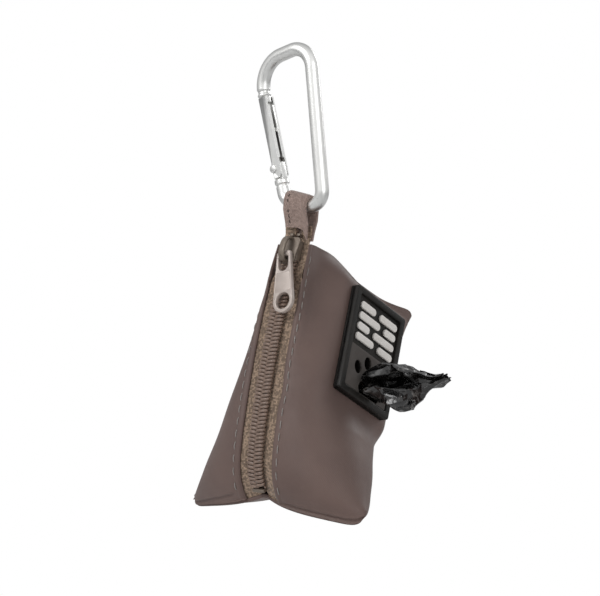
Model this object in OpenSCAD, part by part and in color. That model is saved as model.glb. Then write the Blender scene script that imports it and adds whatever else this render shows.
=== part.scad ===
// Dog poop bag dispenser: a tetrahedral fabric pouch with a curved coil zip, a soft outlet plate
// with a paw-shaped opening, a roll of bags inside, a webbing loop and a snap hook.
// Millimetres. +Z is up, the zip faces -Y and the outlet plate faces +X. The origin is the hang point:
// the inside of the snap hook's top bend, straight above the webbing loop.

/* [Pouch] */
// Length of the top and bottom seams
pouch_w = 85; // [78:0.5:92]
// Distance between the two seams, along the pouch's own axis
pouch_h = 103.4; // [100:0.2:107]
// How far the pouch leans back as it hangs, in degrees
pouch_tilt = 27; // [24:0.5:30]
// Thickness of the coated fabric
fabric_t = 0.9; // [0.6:0.1:1.1]

/* [Zip] */
// Half width of the window between the two fabric folds
window_half = 8.8; // [8:0.1:9.6]
// How far the zip bows out over its curved length
zip_bow = 2.4; // [1.8:0.1:3]
// Height of the slider's middle, on the pouch's own axis
slider_z = 93.8; // [88:0.2:94]

/* [Outlet plate] */
// Width of the plate
plate_w = 32.5; // [31:0.5:34]
// Height of the plate
plate_h = 43; // [42:0.5:44]
// Thickness of the plate
plate_t = 3.5; // [3:0.1:4]

/* [Snap hook] */
// Diameter of the hook's rod
rod_d = 5.3; // [5:0.1:5.4]
// How far the gate line leans from upright, in degrees
gate_lean = 15; // [14:0.5:16]

/* [Webbing loop] */
// Width of the webbing
strap_w = 11; // [10:0.5:11]
// Thickness of the webbing
strap_t = 1.2; // [1:0.1:1.3]

/* [Bags] */
// Diameter of the part-used roll
roll_d = 23.6; // [20:0.2:23.8]
// Length of the roll
roll_l = 56; // [50:1:57]

/* [Hidden] */
$fn = 48;

// Colours
aluminium = [0.80, 0.80, 0.79];
steel = [0.55, 0.55, 0.56];
taupe = [0.42, 0.35, 0.33];
taupe_dark = [0.33, 0.28, 0.26];
webbing = [0.50, 0.43, 0.40];
tape_brown = [0.44, 0.37, 0.32];
coil_brown = [0.47, 0.40, 0.36];
gunmetal = [0.42, 0.40, 0.37];
enamel = [0.73, 0.68, 0.64];
thread_grey = [0.70, 0.69, 0.67];
black = [0.07, 0.07, 0.07];
panel_grey = [0.33, 0.31, 0.30];
warm_white = [0.92, 0.90, 0.87];
card = [0.72, 0.60, 0.45];

// ---- Pouch surface: its own frame has z from the bottom seam up to the top seam ----
// apex: where the top seam would meet the zip's side of the pouch
apex = [2.3, -6.2, -63.35];
side_curve = 0.95;
back_curve = 0.40;
roundness = 2 / 2.2;
// The bottom seam peaks under the zip and its corners are rounded, in millimetres
seam_rise = 5.2;
seam_peak = 4;
seam_bow = 9;
corner_lift = 3.2;
corner_up = 3.6;
// Extra half width at the foot, and how fast the back leaves the bottom seam
foot = 2.2;
heel_in = 32;
top_sag = 3.2;
keel = 22;
strip_turn = 11.5;
seam_gap = 0.15;
top_seam_half = fabric_t + 0.2;
plate_x = 19.6;
plate_z = 68.8;
plate_tilt = 8.5;
plate_fade = 13;

// The zip's curve: an arc through two points of the front, (y, z) in the pouch's frame
zip_top = [-36.3, 96];
zip_low = [-19.1, 13.1];
zip_chord = norm(zip_low - zip_top);
zip_r = zip_chord * zip_chord / (8 * zip_bow) + zip_bow / 2;
zip_in = [-(zip_low[1] - zip_top[1]), zip_low[0] - zip_top[0]] / zip_chord;
zip_c = (zip_top + zip_low) / 2 + zip_in * (zip_r - zip_bow);

function step(lo, hi, x) = let (t = min(max((x - lo) / (hi - lo), 0), 1)) t * t * (3 - 2 * t);
function power(x, p) = x <= 0 ? 0 : pow(x, p);
function arc_y(z) = zip_c[0] - sqrt(zip_r * zip_r - pow(z - zip_c[1], 2));
function half_width(v, right) = pouch_w / 2 * power(1 - v, side_curve)
    + foot * power(1 - v, 6) * (right ? 1 - 1.4 * power(1 - v, 40) : 1);
// 1 near the top, where each side runs straight back from the fold, and 0 lower down, where it bulges
function straight(v) = step(0.68, 0.84, v);
function seam_z(x) = let (u = min(abs(2 * x / pouch_w), 1))
    seam_rise * pow(1 - u, seam_peak) + corner_lift * pow(u, 24);
function rise(v) = power(1 - v, 3);
function keel_in(v) = 1 - power(1 - v, keel);
function line_z(v) = pouch_h * v + seam_rise * rise(v)
    - top_sag * (1 - pow(2 * arc_y(pouch_h * v) / pouch_w, 2)) * pow(v, 3);
function front_y(v) = let (z = line_z(v), k = keel_in(v))
    -seam_bow * (1 - k) + arc_y(z) * k + seam_bow * rise(v);
function back_y(v) = pouch_w / 2 * power(v, back_curve) * (1 - power(1 - v, heel_in));

// A point of the pouch: v from the bottom seam (0) to the top seam (1), turn in degrees from the
// front over the right side to the back, off the distance inside the fabric's outer face.
function cut(v, turn, off = 0) =
    let (right = turn <= 180, a0 = turn <= 180 ? turn : 360 - turn,
         a = max(half_width(v, right), top_seam_half) - off,
         mid = (back_y(v) + front_y(v)) / 2 * step(0, 0.12, v),
         front = max(mid - front_y(v), fabric_t + seam_gap) - off,
         back = max(back_y(v) - mid, fabric_t + seam_gap) - off,
         w = straight(v),
         strip = window_half - step(0.8, 1, v) - (0.6 + 0.4 * w) * off,
         q = max(a0 - strip_turn, 0) / (90 - strip_turn) * 90,
         out = (1 - w) * power(sin(q), roundness) + w * (1 - power(cos(q), roundness)),
         xa = a0 < 90 ? strip * min(a0 / strip_turn, 1) + (a - strip) * out
                      : a * power(sin(a0), roundness),
         y0 = a0 < 90 ? mid - front * power(cos(q), roundness) : mid + back * power(-cos(a0), roundness),
         x0 = right ? xa : -xa,
         hump = 1 - pow(2 * x0 / pouch_w, 2),
         y = y0 - seam_bow * hump * rise(v),
         z = pouch_h * v + seam_z(x0) * rise(v) + off * power(1 - v, 10)
             - top_sag * (1 - pow(min(abs(2 * y / pouch_w), 1), 2)) * pow(v, 3)
             + corner_up * back_round(min(2 * y / pouch_w, 1)) * pow(v, 3))
    [x0 + flat_here(x0, y, z) * (plate_x - off - tan(plate_tilt) * (z - plate_z) - x0), y, z];

// The top seam lifts towards its back end, whose corner is rounded
function back_round(u) = power(u, 3) * (1 - 0.85 * power(u, 16));

// 1 where the fabric lies flat under the outlet plate, fading to 0 around it
function flat_here(x, y, z) =
    (1 - step(plate_w / 2 + 1, plate_w / 2 + plate_fade, abs(y)))
    * (1 - step(plate_h / 2, plate_h / 2 + plate_fade, abs(z - plate_z))) * step(0, 6, x);

module in_pouch() translate(apex) rotate([-pouch_tilt, 0, 0]) translate([0, pouch_w / 2, -pouch_h]) children();

// ---- Lofts ----
// Closed tube through rings of equal length
function ring_faces(n, k, flat) = concat(
    end_faces(k, 0, flat, false),
    [for (j = [0 : n - 2], i = [0 : k - 1])
        [j * k + i, (j + 1) * k + i, (j + 1) * k + (i + 1) % k]],
    [for (j = [0 : n - 2], i = [0 : k - 1])
        [j * k + i, (j + 1) * k + (i + 1) % k, j * k + (i + 1) % k]],
    end_faces(k, (n - 1) * k, flat, true));
// An end ring is one face, or on a flat band a row of faces from its outer to its inner points
function end_faces(k, base, flat, last) = flat
    ? [for (i = [0 : k / 2 - 2]) let (f = [i, i + 1, k - 2 - i, k - 1 - i])
        [for (j = [0 : 3]) base + f[last ? 3 - j : j]]]
    : [[for (i = [0 : k - 1]) base + (last ? k - 1 - i : i)]];
module loft(rings, flat = false) {
    n = len(rings);
    polyhedron([for (r = rings, p = r) p], ring_faces(n, len(rings[0]), flat));
}

// A skin between two grids of points, outer[j][i] and inner[j][i], with one block of cells left out
function in_hole(i, j, h) = i >= h[0] && i < h[1] && j >= h[2] && j < h[3];
module skin(outer, inner, hole = [0, 0, 0, 0]) {
    rows = len(outer);
    cols = len(outer[0]);
    base = rows * cols;
    o = function (i, j) j * cols + i;
    n = function (i, j) base + j * cols + i;
    cells = [for (j = [0 : rows - 2], i = [0 : cols - 2]) if (!in_hole(i, j, hole)) [i, j]];
    polyhedron([for (g = [outer, inner], r = g, p = r) p], concat(
        [for (c = cells) [o(c[0], c[1]), o(c[0], c[1] + 1), o(c[0] + 1, c[1] + 1)]],
        [for (c = cells) [o(c[0], c[1]), o(c[0] + 1, c[1] + 1), o(c[0] + 1, c[1])]],
        [for (c = cells) [n(c[0], c[1]), n(c[0] + 1, c[1] + 1), n(c[0], c[1] + 1)]],
        [for (c = cells) [n(c[0], c[1]), n(c[0] + 1, c[1]), n(c[0] + 1, c[1] + 1)]],
        [for (i = [0 : cols - 2], t = [0, 1]) t == 0 ? [o(i, 0), o(i + 1, 0), n(i + 1, 0)]
                                                      : [o(i, 0), n(i + 1, 0), n(i, 0)]],
        [for (i = [0 : cols - 2], t = [0, 1]) let (j = rows - 1)
            t == 0 ? [o(i + 1, j), o(i, j), n(i, j)] : [o(i + 1, j), n(i, j), n(i + 1, j)]],
        [for (j = [0 : rows - 2], t = [0, 1]) t == 0 ? [o(0, j + 1), o(0, j), n(0, j)]
                                                      : [o(0, j + 1), n(0, j), n(0, j + 1)]],
        [for (j = [0 : rows - 2], t = [0, 1]) let (i = cols - 1)
            t == 0 ? [o(i, j), o(i, j + 1), n(i, j + 1)] : [o(i, j), n(i, j + 1), n(i, j)]],
        hole_walls(o, n, hole)));
}
function hole_walls(o, n, h) = h[1] <= h[0] ? [] : concat(
    [for (i = [h[0] : h[1] - 1], t = [0, 1]) let (j = h[2])
        t == 0 ? [o(i + 1, j), o(i, j), n(i, j)] : [o(i + 1, j), n(i, j), n(i + 1, j)]],
    [for (i = [h[0] : h[1] - 1], t = [0, 1]) let (j = h[3])
        t == 0 ? [o(i, j), o(i + 1, j), n(i + 1, j)] : [o(i, j), n(i + 1, j), n(i, j)]],
    [for (j = [h[2] : h[3] - 1], t = [0, 1]) let (i = h[0])
        t == 0 ? [o(i, j), o(i, j + 1), n(i, j + 1)] : [o(i, j), n(i, j + 1), n(i, j)]],
    [for (j = [h[2] : h[3] - 1], t = [0, 1]) let (i = h[1])
        t == 0 ? [o(i, j + 1), o(i, j), n(i, j)] : [o(i, j + 1), n(i, j), n(i, j + 1)]]);

// ---- Pouch pieces ----
shell_cols = 60;
shell_rows = 26;
fold_drop = 0.055;
fold_turn = strip_turn * 0.98;
// Rows run closer together near the bottom seam, and the fold's rows end below the top seam
function row_v(j, turn) = pow(j / shell_rows, 1.5)
    * (1 - fold_drop * (1 - step(strip_turn, 75, min(turn, 360 - turn))));
function col_turn(i) = fold_turn + (360 - 2 * fold_turn) * i / shell_cols;
// The fabric's opening behind the outlet: first and last column, first and last row
outlet_cells = [11, 17, 16, 19];

module pouch_shell() color(taupe) in_pouch() skin(
    [for (j = [0 : shell_rows]) [for (i = [0 : shell_cols]) cut(row_v(j, col_turn(i)), col_turn(i), 0)]],
    [for (j = [0 : shell_rows]) [for (i = [0 : shell_cols]) cut(row_v(j, col_turn(i)), col_turn(i), fabric_t)]],
    outlet_cells);

// Binding tape over the raw edges inside each seam
binding_x = [13.9, 35.7];
binding_cells = 10;
module bottom_seam_binding() color(taupe_dark) in_pouch() for (s = [-1, 1]) skin_between(
    [for (k = [0 : binding_cells])
        let (x = s > 0 ? binding_x[0] + (binding_x[1] - binding_x[0]) * k / binding_cells
                       : -binding_x[1] + (binding_x[1] - binding_x[0]) * k / binding_cells)
        [x, -seam_bow * (1 - pow(2 * x / pouch_w, 2)), seam_z(x)]], 1.6, 7);
module top_seam_binding() color(taupe_dark) in_pouch() for (k = [0 : 11])
    let (y0 = -20 + k * 4.6, z0 = top_line(y0), z1 = top_line(y0 + 4.6))
    translate([0, y0, 0]) rotate([90, 0, 90]) linear_extrude(0.2, center = true)
        polygon([[0, z0 - 6], [4.6, z1 - 6], [4.6, z1 - 0.6], [0, z0 - 0.6]]);
function top_line(y) = pouch_h - top_sag * (1 - pow(2 * y / pouch_w, 2));
// An upright strip along a line of points, from lo above it to hi above it
module skin_between(line, lo, hi) skin(
    [for (h = [lo, hi]) [for (p = line) p + [0, -seam_gap + 0.05, h]]],
    [for (h = [lo, hi]) [for (p = line) p + [0, seam_gap - 0.05, h]]]);

// ---- Zip ----
tape_t = 0.6;
tape_gap = 0.2;
tape_out = fabric_t + tape_gap;
tape_inner_x = 1.7;
zip_rows = 40;
zip_end_v = 0.992;
function zip_v(j) = pow(j / zip_rows, 1.25) * zip_end_v;
tape_cols = 6;
// The tape's columns run from beside the coil to its edge, which is under the cloth except at the top
function tape_turn(v, i, off) = let (
    inner = strip_turn * tape_inner_x / (window_half - 0.6 * off),
    edge = strip_turn * 0.9 + (strip_turn * 0.1 + 6.4) * (1 - straight(v)))
    inner + (edge - inner) * i / tape_cols;
function tape_row(side, v, off) = [for (i = [0 : tape_cols])
    let (t = tape_turn(v, i, off)) cut(v, side > 0 ? t : 360 - t, off)];
// The top ends run on straight up between the webbing's legs
tape_end = 3;
straight_up = [0, -sin(pouch_tilt), cos(pouch_tilt)];
module zip_tape(side) color(tape_brown) in_pouch() {
    faces = [for (off = [tape_out, tape_out + tape_t]) concat(
        [for (j = [0 : zip_rows]) tape_row(side, zip_v(j), off)],
        [for (h = [tape_end / 2, tape_end]) [for (p = tape_row(side, zip_end_v, off)) p + h * straight_up]])];
    if (side > 0) skin(faces[0], faces[1]);
    else skin(faces[1], faces[0]);
}

// A coil half: a ribbed bar that follows the front line
pitch = 1.45;
coil_x = [0.75, 3.1];
coil_top = 1.3;
coil_turn = strip_turn * 2 / window_half;
function front_point(v) = let (p = cut(v, coil_turn, 0)) [p[1], p[2]];
function front_out(v) = let (d = front_point(v + 0.002) - front_point(v - 0.002)) [-d[1], d[0]] / norm(d);
coil_lo = 0.03;
coil_hi = 0.945;
coil_rings = 130;
module zip_coil(side) color(coil_brown) in_pouch() {
    rings = [for (k = [0 : coil_rings])
        let (v = coil_lo + (coil_hi - coil_lo) * pow(k / coil_rings, 1.12),
             p = front_point(v), n = front_out(v), s = (k % 2) * 0.35)
        [for (c = [[coil_x[0] + s, -0.7], [coil_x[1], -0.95], [coil_x[1], 0.5],
                   [2.4, coil_top - s], [1.3, coil_top - s], [coil_x[0] + s, 0.7]])
            [side * c[0], p[0] + n[0] * c[1], p[1] + n[1] * c[1]]]];
    if (side < 0) loft(rings);
    else loft([for (r = rings) [for (i = [5 : -1 : 0]) r[i]]]);
}

// Stands things on the zip's arc: local X across, Y up along the zip, Z outwards from the fabric
function zip_angle(z) = asin((z - zip_c[1]) / zip_r);
module on_zip(z) translate([0, zip_c[0] - zip_r * cos(zip_angle(z)), zip_c[1] + zip_r * sin(zip_angle(z))])
    rotate([90 - zip_angle(z), 0, 0]) children();

// Stitches on the fabric, 2 mm outside each fold
stitch_l = 3.6;
stitch_step = 5.2;
stitch_in = 2;
// How far round the pouch a stitch lies, so that it is stitch_in from the fold
function stitch_turn(v, t = strip_turn + 0.4) =
    norm(cut(v, t) - cut(v, strip_turn)) > stitch_in ? t : stitch_turn(v, t + 0.2);
stitch_count = 17;
module topstitch(side) color(thread_grey) in_pouch() for (k = [0 : stitch_count - 1])
    let (v = 0.075 + k * stitch_step / pouch_h, t = side > 0 ? stitch_turn(v) : 360 - stitch_turn(v),
         p = cut(v, t, -0.37), d = cut(v + 0.005, t, -0.37) - p, a = cut(v, t, 0),
         lean = atan2(d[1], d[2]), yaw = asin(d[0] / norm(d)))
    translate(p) rotate([-lean, 0, 0]) rotate([0, yaw, 0]) translate([0, 0, 0.4]) stitch();
module stitch() hull() for (z = [0.2, stitch_l - 0.2]) translate([0, 0, z]) sphere(0.2, $fn = 6);

module zip_top_stops() color(gunmetal) in_pouch() on_zip(zip_top[1] + 4.6) for (s = [-1, 1])
    translate([s * 1.7 - 0.8, -0.6, -0.9]) cube([1.6, 1.2, 1.9]);
bottom_stop_v = 0.024;
module zip_bottom_stop() color(gunmetal) in_pouch()
    let (p = front_point(bottom_stop_v), n = front_out(bottom_stop_v))
    translate([0, p[0], p[1]]) rotate([90 - atan2(n[1], -n[0]), 0, 0])
        translate([-3, -1.0, -0.85]) cube([6, 1.4, 2.0]);

// ---- Slider and pull ----
slider_l = 10.6;
plate_gap = 0.2;
post_half = 0.45;
bridge_half = 1.35;
module slider_outline() hull() {
    translate([-3.1, slider_l / 2 - 1.6]) circle(1.6, $fn = 24);
    translate([3.1, slider_l / 2 - 1.6]) circle(1.6, $fn = 24);
    translate([-2.7, -slider_l / 2 + 1.2]) circle(1.2, $fn = 24);
    translate([2.7, -slider_l / 2 + 1.2]) circle(1.2, $fn = 24);
}
top_deck = coil_top + plate_gap;
low_deck = -(tape_out + tape_t + plate_gap + 0.15);
deck_t = 0.9;
// Half lengths and heights of the bridge, outside and inside
bridge_out = [5.2, 4.1];
bridge_in = [4.4, 3.1];
tab_t = 1.7;
// Where the tab's bar rests in the bridge: down the zip, and out from it
tab_pivot = [-2.2, top_deck + deck_t + 1.35];
module slider_body() color(gunmetal) in_pouch() on_zip(slider_z) {
    translate([0, 0, top_deck]) linear_extrude(deck_t) slider_outline();
    translate([0, 0, low_deck - deck_t]) linear_extrude(deck_t) slider_outline();
    translate([-post_half, 0.8, low_deck - 0.1]) cube([2 * post_half, 3, top_deck - low_deck + 0.2]);
    for (s = [-1, 1]) translate([s * 3.75 - 0.45, -slider_l / 2 + 1.4, -tape_out + 0.35])
        cube([0.9, slider_l - 2.8, top_deck + tape_out - 0.3]);
    slider_bridge();
}
module slider_bridge() translate([-bridge_half, 0, top_deck + deck_t - 0.05])
    rotate([90, 0, 90]) linear_extrude(2 * bridge_half) difference() {
        intersection() {
            squarish(bridge_out[0], bridge_out[1]);
            translate([-6, 0]) square([12, 6]);
        }
        intersection() {
            squarish(bridge_in[0], bridge_in[1]);
            translate([-6, -0.1]) square([12, 6]);
        }
    }
// An outline between an oval and a rectangle, worked out point by point
function side_of(x) = sign(x) * pow(abs(x), 0.8);
module squarish(a, b) polygon([for (t = [0 : 7.5 : 352.5]) [a * side_of(cos(t)), b * side_of(sin(t))]]);

tab_l = 24.6;
tab_yaw = 13.5;
tab_drop = 4;
tab_hole_r = 3.2;
tab_hole_y = -19;
module tab_outline() hull() {
    translate([-2.15, -0.15]) circle(1.1, $fn = 32);
    translate([2.15, -0.15]) circle(1.1, $fn = 32);
    translate([0, -tab_l + 0.95 + 4.7]) circle(4.7, $fn = 64);
}
module on_pull() in_pouch() on_zip(slider_z) translate([0, tab_pivot[0], tab_pivot[1]])
    rotate([tab_drop, 0, 0]) rotate([0, 0, tab_yaw]) children();
module pull_tab() color(enamel) on_pull() difference() {
    translate([0, 0, -tab_t / 2]) linear_extrude(tab_t) difference() {
        tab_outline();
        tab_slot();
    }
    translate([0, tab_hole_y, -tab_t]) cylinder(r = tab_hole_r, h = 2 * tab_t, $fn = 64);
    for (s = [-1, 1]) translate([0, 0, s * (tab_t / 2 + 0.12)]) linear_extrude(0.5, center = true)
        sunk_field();
}
module tab_slot() hull() {
    for (s = [-1, 1]) translate([s * 1.45, -1.85]) circle(0.9, $fn = 32);
    translate([0, -4.7]) circle(2.3, $fn = 32);
}
// The sunk field between the slot and the hole
module sunk_field() polygon([[-2.8, -8.0], [2.8, -8.0], [3.5, -14.9], [-3.5, -14.9]]);

// ---- Outlet plate: local X across, Y up, Z outwards from the fabric ----
module on_plate() in_pouch() translate([plate_x, 0, plate_z]) rotate([0, -plate_tilt, 0])
    rotate([90, 0, 90]) translate([0, 0, 0.08]) children();
border = 2.7;
recess = 1.2;
floor_t = plate_t - recess;
paw_x = 1.8;
paw_y = -12.6;
field_split = -1.4;
module rounded(w, h, r, sides = 24) hull() for (x = [-1, 1], y = [-1, 1])
    translate([x * (w / 2 - r), y * (h / 2 - r)]) circle(r, $fn = sides);
// Two upper ovals, two outer ovals and a broad pad
module paw(grow = 0) {
    for (t = [[-9.0, 3.4, 20], [-3.5, 6.9, 6], [3.5, 6.9, -6], [9.0, 3.4, -20]])
        translate([t[0], t[1]]) rotate(t[2]) toe_hole(grow);
    pad_hole(grow);
}
module toe_hole(grow) polygon([for (t = [0 : 15 : 345]) [(2.15 + grow) * cos(t), (2.6 + grow) * sin(t)]]);
module pad_hole(grow) polygon([for (t = [0 : 10 : 350])
    [(6.6 + grow) * cos(t) * (1 - 0.22 * sin(t)), -2.6 + (4.5 + grow) * sin(t)]]);
module outlet_plate() color(black) on_plate() difference() {
    linear_extrude(plate_t) rounded(plate_w, plate_h, 1.2);
    translate([0, 0, floor_t]) linear_extrude(plate_t) rounded(plate_w - 2 * border, plate_h - 2 * border, 0.8);
    translate([paw_x, paw_y, -1]) linear_extrude(plate_t + 2) paw(0.25);
}
panel_w = plate_w - 2 * border - 0.4;
panel_h = plate_h / 2 - border + field_split - 0.4;
panel_y = -plate_h / 2 + border + 0.2 + panel_h / 2;
panel_t = 0.7;
module outlet_panel() color(panel_grey) on_plate() translate([0, 0, floor_t + 0.02])
    linear_extrude(panel_t) difference() {
        translate([0, panel_y]) rounded(panel_w, panel_h, 0.6);
        translate([paw_x, paw_y]) paw(0);
    }
// Plain raised bars that fill the upper field
bar_rows = 4;
bar_pitch = 4.3;
bar_h = 2.9;
bar_lengths = [[11.5, 9.5], [7.5, 13.5], [13.5, 7.5], [9.5, 11.5]];
module outlet_bars() color(warm_white) on_plate() translate([0, 0, floor_t + 0.02]) linear_extrude(0.9)
    for (r = [0 : bar_rows - 1]) let (y = field_split + 3.6 + r * bar_pitch, l = bar_lengths[r]) {
        translate([-12 + l[0] / 2, y]) rounded(l[0], bar_h, 1.3, 16);
        translate([12 - l[1] / 2, y]) rounded(l[1], bar_h, 1.3, 16);
    }

// ---- Snap hook: drawn in the X-Z plane, as (x, z) ----
rod_r = rod_d / 2;
nose_c = [-4.6, -10.65];
nose_r = 12;
crown_c = [0, -5.55];
crown_r = 8.2;
spine_lean = 6.1;
bar_c = [2.3, -56.18];
bar_slope = 12;
corner_r = 5.5;
heel_r = 4;
hinge_end_s = 34.3;
gate_start = 1.5;
gate_end = 33.7;
rivet_s = 29.9;
rivet_off = -1.0;
rivet_r = 0.9;
nose_end = 1.0;

function dir(a) = [cos(a), sin(a)];
// Where the straight line p + s * dir(a) meets the line q + t * dir(b)
function meet(p, a, q, b) = let (d = q - p, c = cos(a) * sin(b) - sin(a) * cos(b))
    p + dir(a) * (d[0] * sin(b) - d[1] * cos(b)) / c;

// Angles of the straight runs, as headings in degrees, going round from the nose
bridge_a = atan2(crown_c[1] - nose_c[1], crown_c[0] - nose_c[0])
           + acos((nose_r - crown_r) / norm(crown_c - nose_c));
spine_a = -90 + spine_lean;
bar_a = 180 - bar_slope;
gate_a = -90 + gate_lean;
gate_0 = nose_c + nose_r * dir(180 + gate_lean);
spine_0 = crown_c + crown_r * dir(spine_lean);
corner_p = meet(spine_0, spine_a, bar_c, bar_a);
corner_turn = spine_a - bar_a + 360;
corner_run = corner_r * tan(corner_turn / 2);
heel_p = meet(gate_0, gate_a, bar_c, bar_a);
heel_turn = 180 - gate_lean - bar_slope - 90;
heel_run = heel_r * tan(heel_turn / 2);

module flat_at(p) translate([p[0], 0, p[1]]) children();
// Stations along the rod from the nose round to the hinge: [point, heading of the outward normal]
function arc(c, r, a0, a1, n) = [for (i = [0 : n]) let (a = a0 + (a1 - a0) * i / n) [c + r * dir(a), a]];
rod_line = concat(
    [[gate_0 + dir(gate_a) * nose_end, 180 + gate_lean]],
    arc(nose_c, nose_r, 180 + gate_lean, bridge_a, 12),
    arc(crown_c, crown_r, bridge_a, spine_lean, 12),
    arc(corner_p - dir(spine_a) * corner_run + dir(spine_a - 90) * corner_r, corner_r,
        spine_lean, spine_lean - corner_turn, 12),
    arc(heel_p - dir(gate_a) * heel_run + dir(gate_a + 90) * heel_r, heel_r,
        gate_a - 90 + heel_turn, gate_a - 90, 8),
    [[gate_0 + dir(gate_a) * hinge_end_s, gate_a - 90]]);
rod_sides = 24;
module rod() loft([for (s = rod_line) [for (k = [0 : rod_sides - 1])
    let (t = 360 * k / rod_sides, n = dir(s[1]) * cos(t))
    [s[0][0] + rod_r * n[0], -rod_r * sin(t), s[0][1] + rod_r * n[1]]]]);
module on_gate(s, off = 0) let (p = gate_0 + dir(gate_a) * s + dir(gate_a + 90) * off)
    flat_at(p) rotate([0, -gate_lean, 0]) children();

tongue_half = 1.45;
module carabiner_body() color(aluminium) difference() {
    union() {
        rod();
        hinge_tongue();
        nose_tongue();
    }
    on_gate(rivet_s, rivet_off) rotate([90, 0, 0]) cylinder(r = rivet_r, h = 20, center = true);
}
module hinge_tongue() on_gate(rivet_s - 2.2) translate([-1.95, -tongue_half, -(hinge_end_s - rivet_s + 2.3)])
    cube([4.2, 2 * tongue_half, hinge_end_s - rivet_s + 2.3]);
module nose_tongue() on_gate(nose_end - 0.5) translate([-1.1, -tongue_half + 0.4, -3.2])
    cube([3.1, 2 * tongue_half - 0.8, 3.2]);

gate_w = 4.8;
gate_d = 4.5;
gate_wall = 0.8;
gate_inner = gate_w - 2 * gate_wall;
// Lower face of the crimp that the gate's spring pushes against
seat_s = 15.3;
// Between these two places the channel's edges are rolled in, which leaves a narrow slot
lip_s = [4.9, 26];
slot_half = 0.7;
lip_t = 0.65;
module carabiner_gate() color(aluminium) difference() {
    intersection() {
        union() {
            on_gate(gate_end) linear_extrude(gate_end - gate_start) channel();
            on_gate(lip_s[1]) linear_extrude(lip_s[1] - lip_s[0]) lips();
            on_gate(seat_s) translate([-gate_d / 2 + 0.5, -gate_inner / 2 - 0.1, 0])
                cube([3.2, gate_inner + 0.2, 1.5]);
        }
        on_gate(rivet_s, rivet_off) rotate([90, 0, 0]) union() {
            cylinder(r = 4.2, h = 20, center = true);
            translate([-10, 0, -10]) cube([20, 40, 20]);
        }
    }
    on_gate(gate_start - 0.1) translate([-5, -gate_inner / 2, -3.3]) cube([10, gate_inner, 3.4]);
    on_gate(rivet_s - 3.4) translate([-5, -gate_inner / 2, -20]) cube([5.5, gate_inner, 20]);
    on_gate(rivet_s, rivet_off) rotate([90, 0, 0]) cylinder(r = rivet_r + 0.05, h = 20, center = true);
}
// U section of the gate, open towards the hook's inside
module channel() difference() {
    intersection() {
        translate([-gate_d / 2, -gate_w / 2]) square([gate_d, gate_w]);
        translate([0.75, 0]) circle(3.2, $fn = 64);
    }
    translate([-gate_d / 2 + gate_wall, -gate_inner / 2]) square([gate_d, gate_inner]);
}
module lips() for (s = [-1, 1])
    translate([gate_d / 2 - lip_t, s > 0 ? slot_half : -gate_inner / 2 - 0.1])
        square([lip_t, gate_inner / 2 + 0.1 - slot_half]);
module gate_rivet() color(steel) on_gate(rivet_s, rivet_off) rotate([90, 0, 0]) union() {
    cylinder(r = rivet_r, h = gate_w + 0.6, center = true);
    for (s = [-1, 1]) translate([0, 0, s * (gate_w / 2 + 0.32)]) cylinder(r = 1.55, h = 0.5, center = true);
}
plunger_r = 1.3;
plunger_s = 27.62;
plunger_l = 3;
module gate_plunger() color(steel) on_gate(plunger_s) union() {
    cylinder(r = plunger_r, h = plunger_l);
    translate([0, 0, plunger_l]) cylinder(r = 0.6, h = 1.2);
}

// The gate's spring: one unbroken wire
spring_r = 1.05;
wire_d = 0.34;
curls = 11;
spring_lo = plunger_l + 0.03;
spring_l = 9.2;
curl_rings = 8;
function spring_point(k) = let (t = k / curl_rings)
    [spring_r * cos(360 * t), spring_r * sin(360 * t), wire_d / 2 + spring_lo + (spring_l - wire_d) * t / curls];
spring_points = [for (k = [0 : curls * curl_rings]) spring_point(k)];
last_point = len(spring_points) - 1;
half_curl = curl_rings / 2;
spring_gap = min([for (i = [0 : last_point - half_curl], j = [i + half_curl : last_point])
    norm(spring_points[i] - spring_points[j])]) - wire_d;
echo(spring_least_gap_mm = spring_gap);
module gate_spring() color(steel) on_gate(plunger_s) loft([for (k = [0 : len(spring_points) - 1])
    let (p = spring_points[k], a = 360 * k / curl_rings)
    [for (c = [300 : -60 : 0]) p + wire_d / 2 * (cos(c) * [cos(a), sin(a), 0] + sin(c) * [0, 0, 1])]]);

// ---- Webbing loop round the hook's bottom bar ----
eye_r = rod_r + 0.3;
loop_r = eye_r + strap_t;
// Each station of the webbing is eight points: four across its outer face, then four back across its inner
// face. Only the right corner of the front leg hangs down as a flap.
strap_mid = 2.6;
strap_x = [for (f = [-0.5, 0.05, 0.29, 0.5]) strap_mid + strap_w * f];
function bar_z(x) = bar_c[1] - (x - bar_c[0]) * tan(bar_slope);
function eye_ring(a) = [for (k = [0 : 7]) let (x = strap_x[k < 4 ? k : 7 - k], r = k < 4 ? loop_r : eye_r)
    [x, -r * cos(a), bar_z(x) + r * sin(a) / cos(bar_slope)]];
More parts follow.
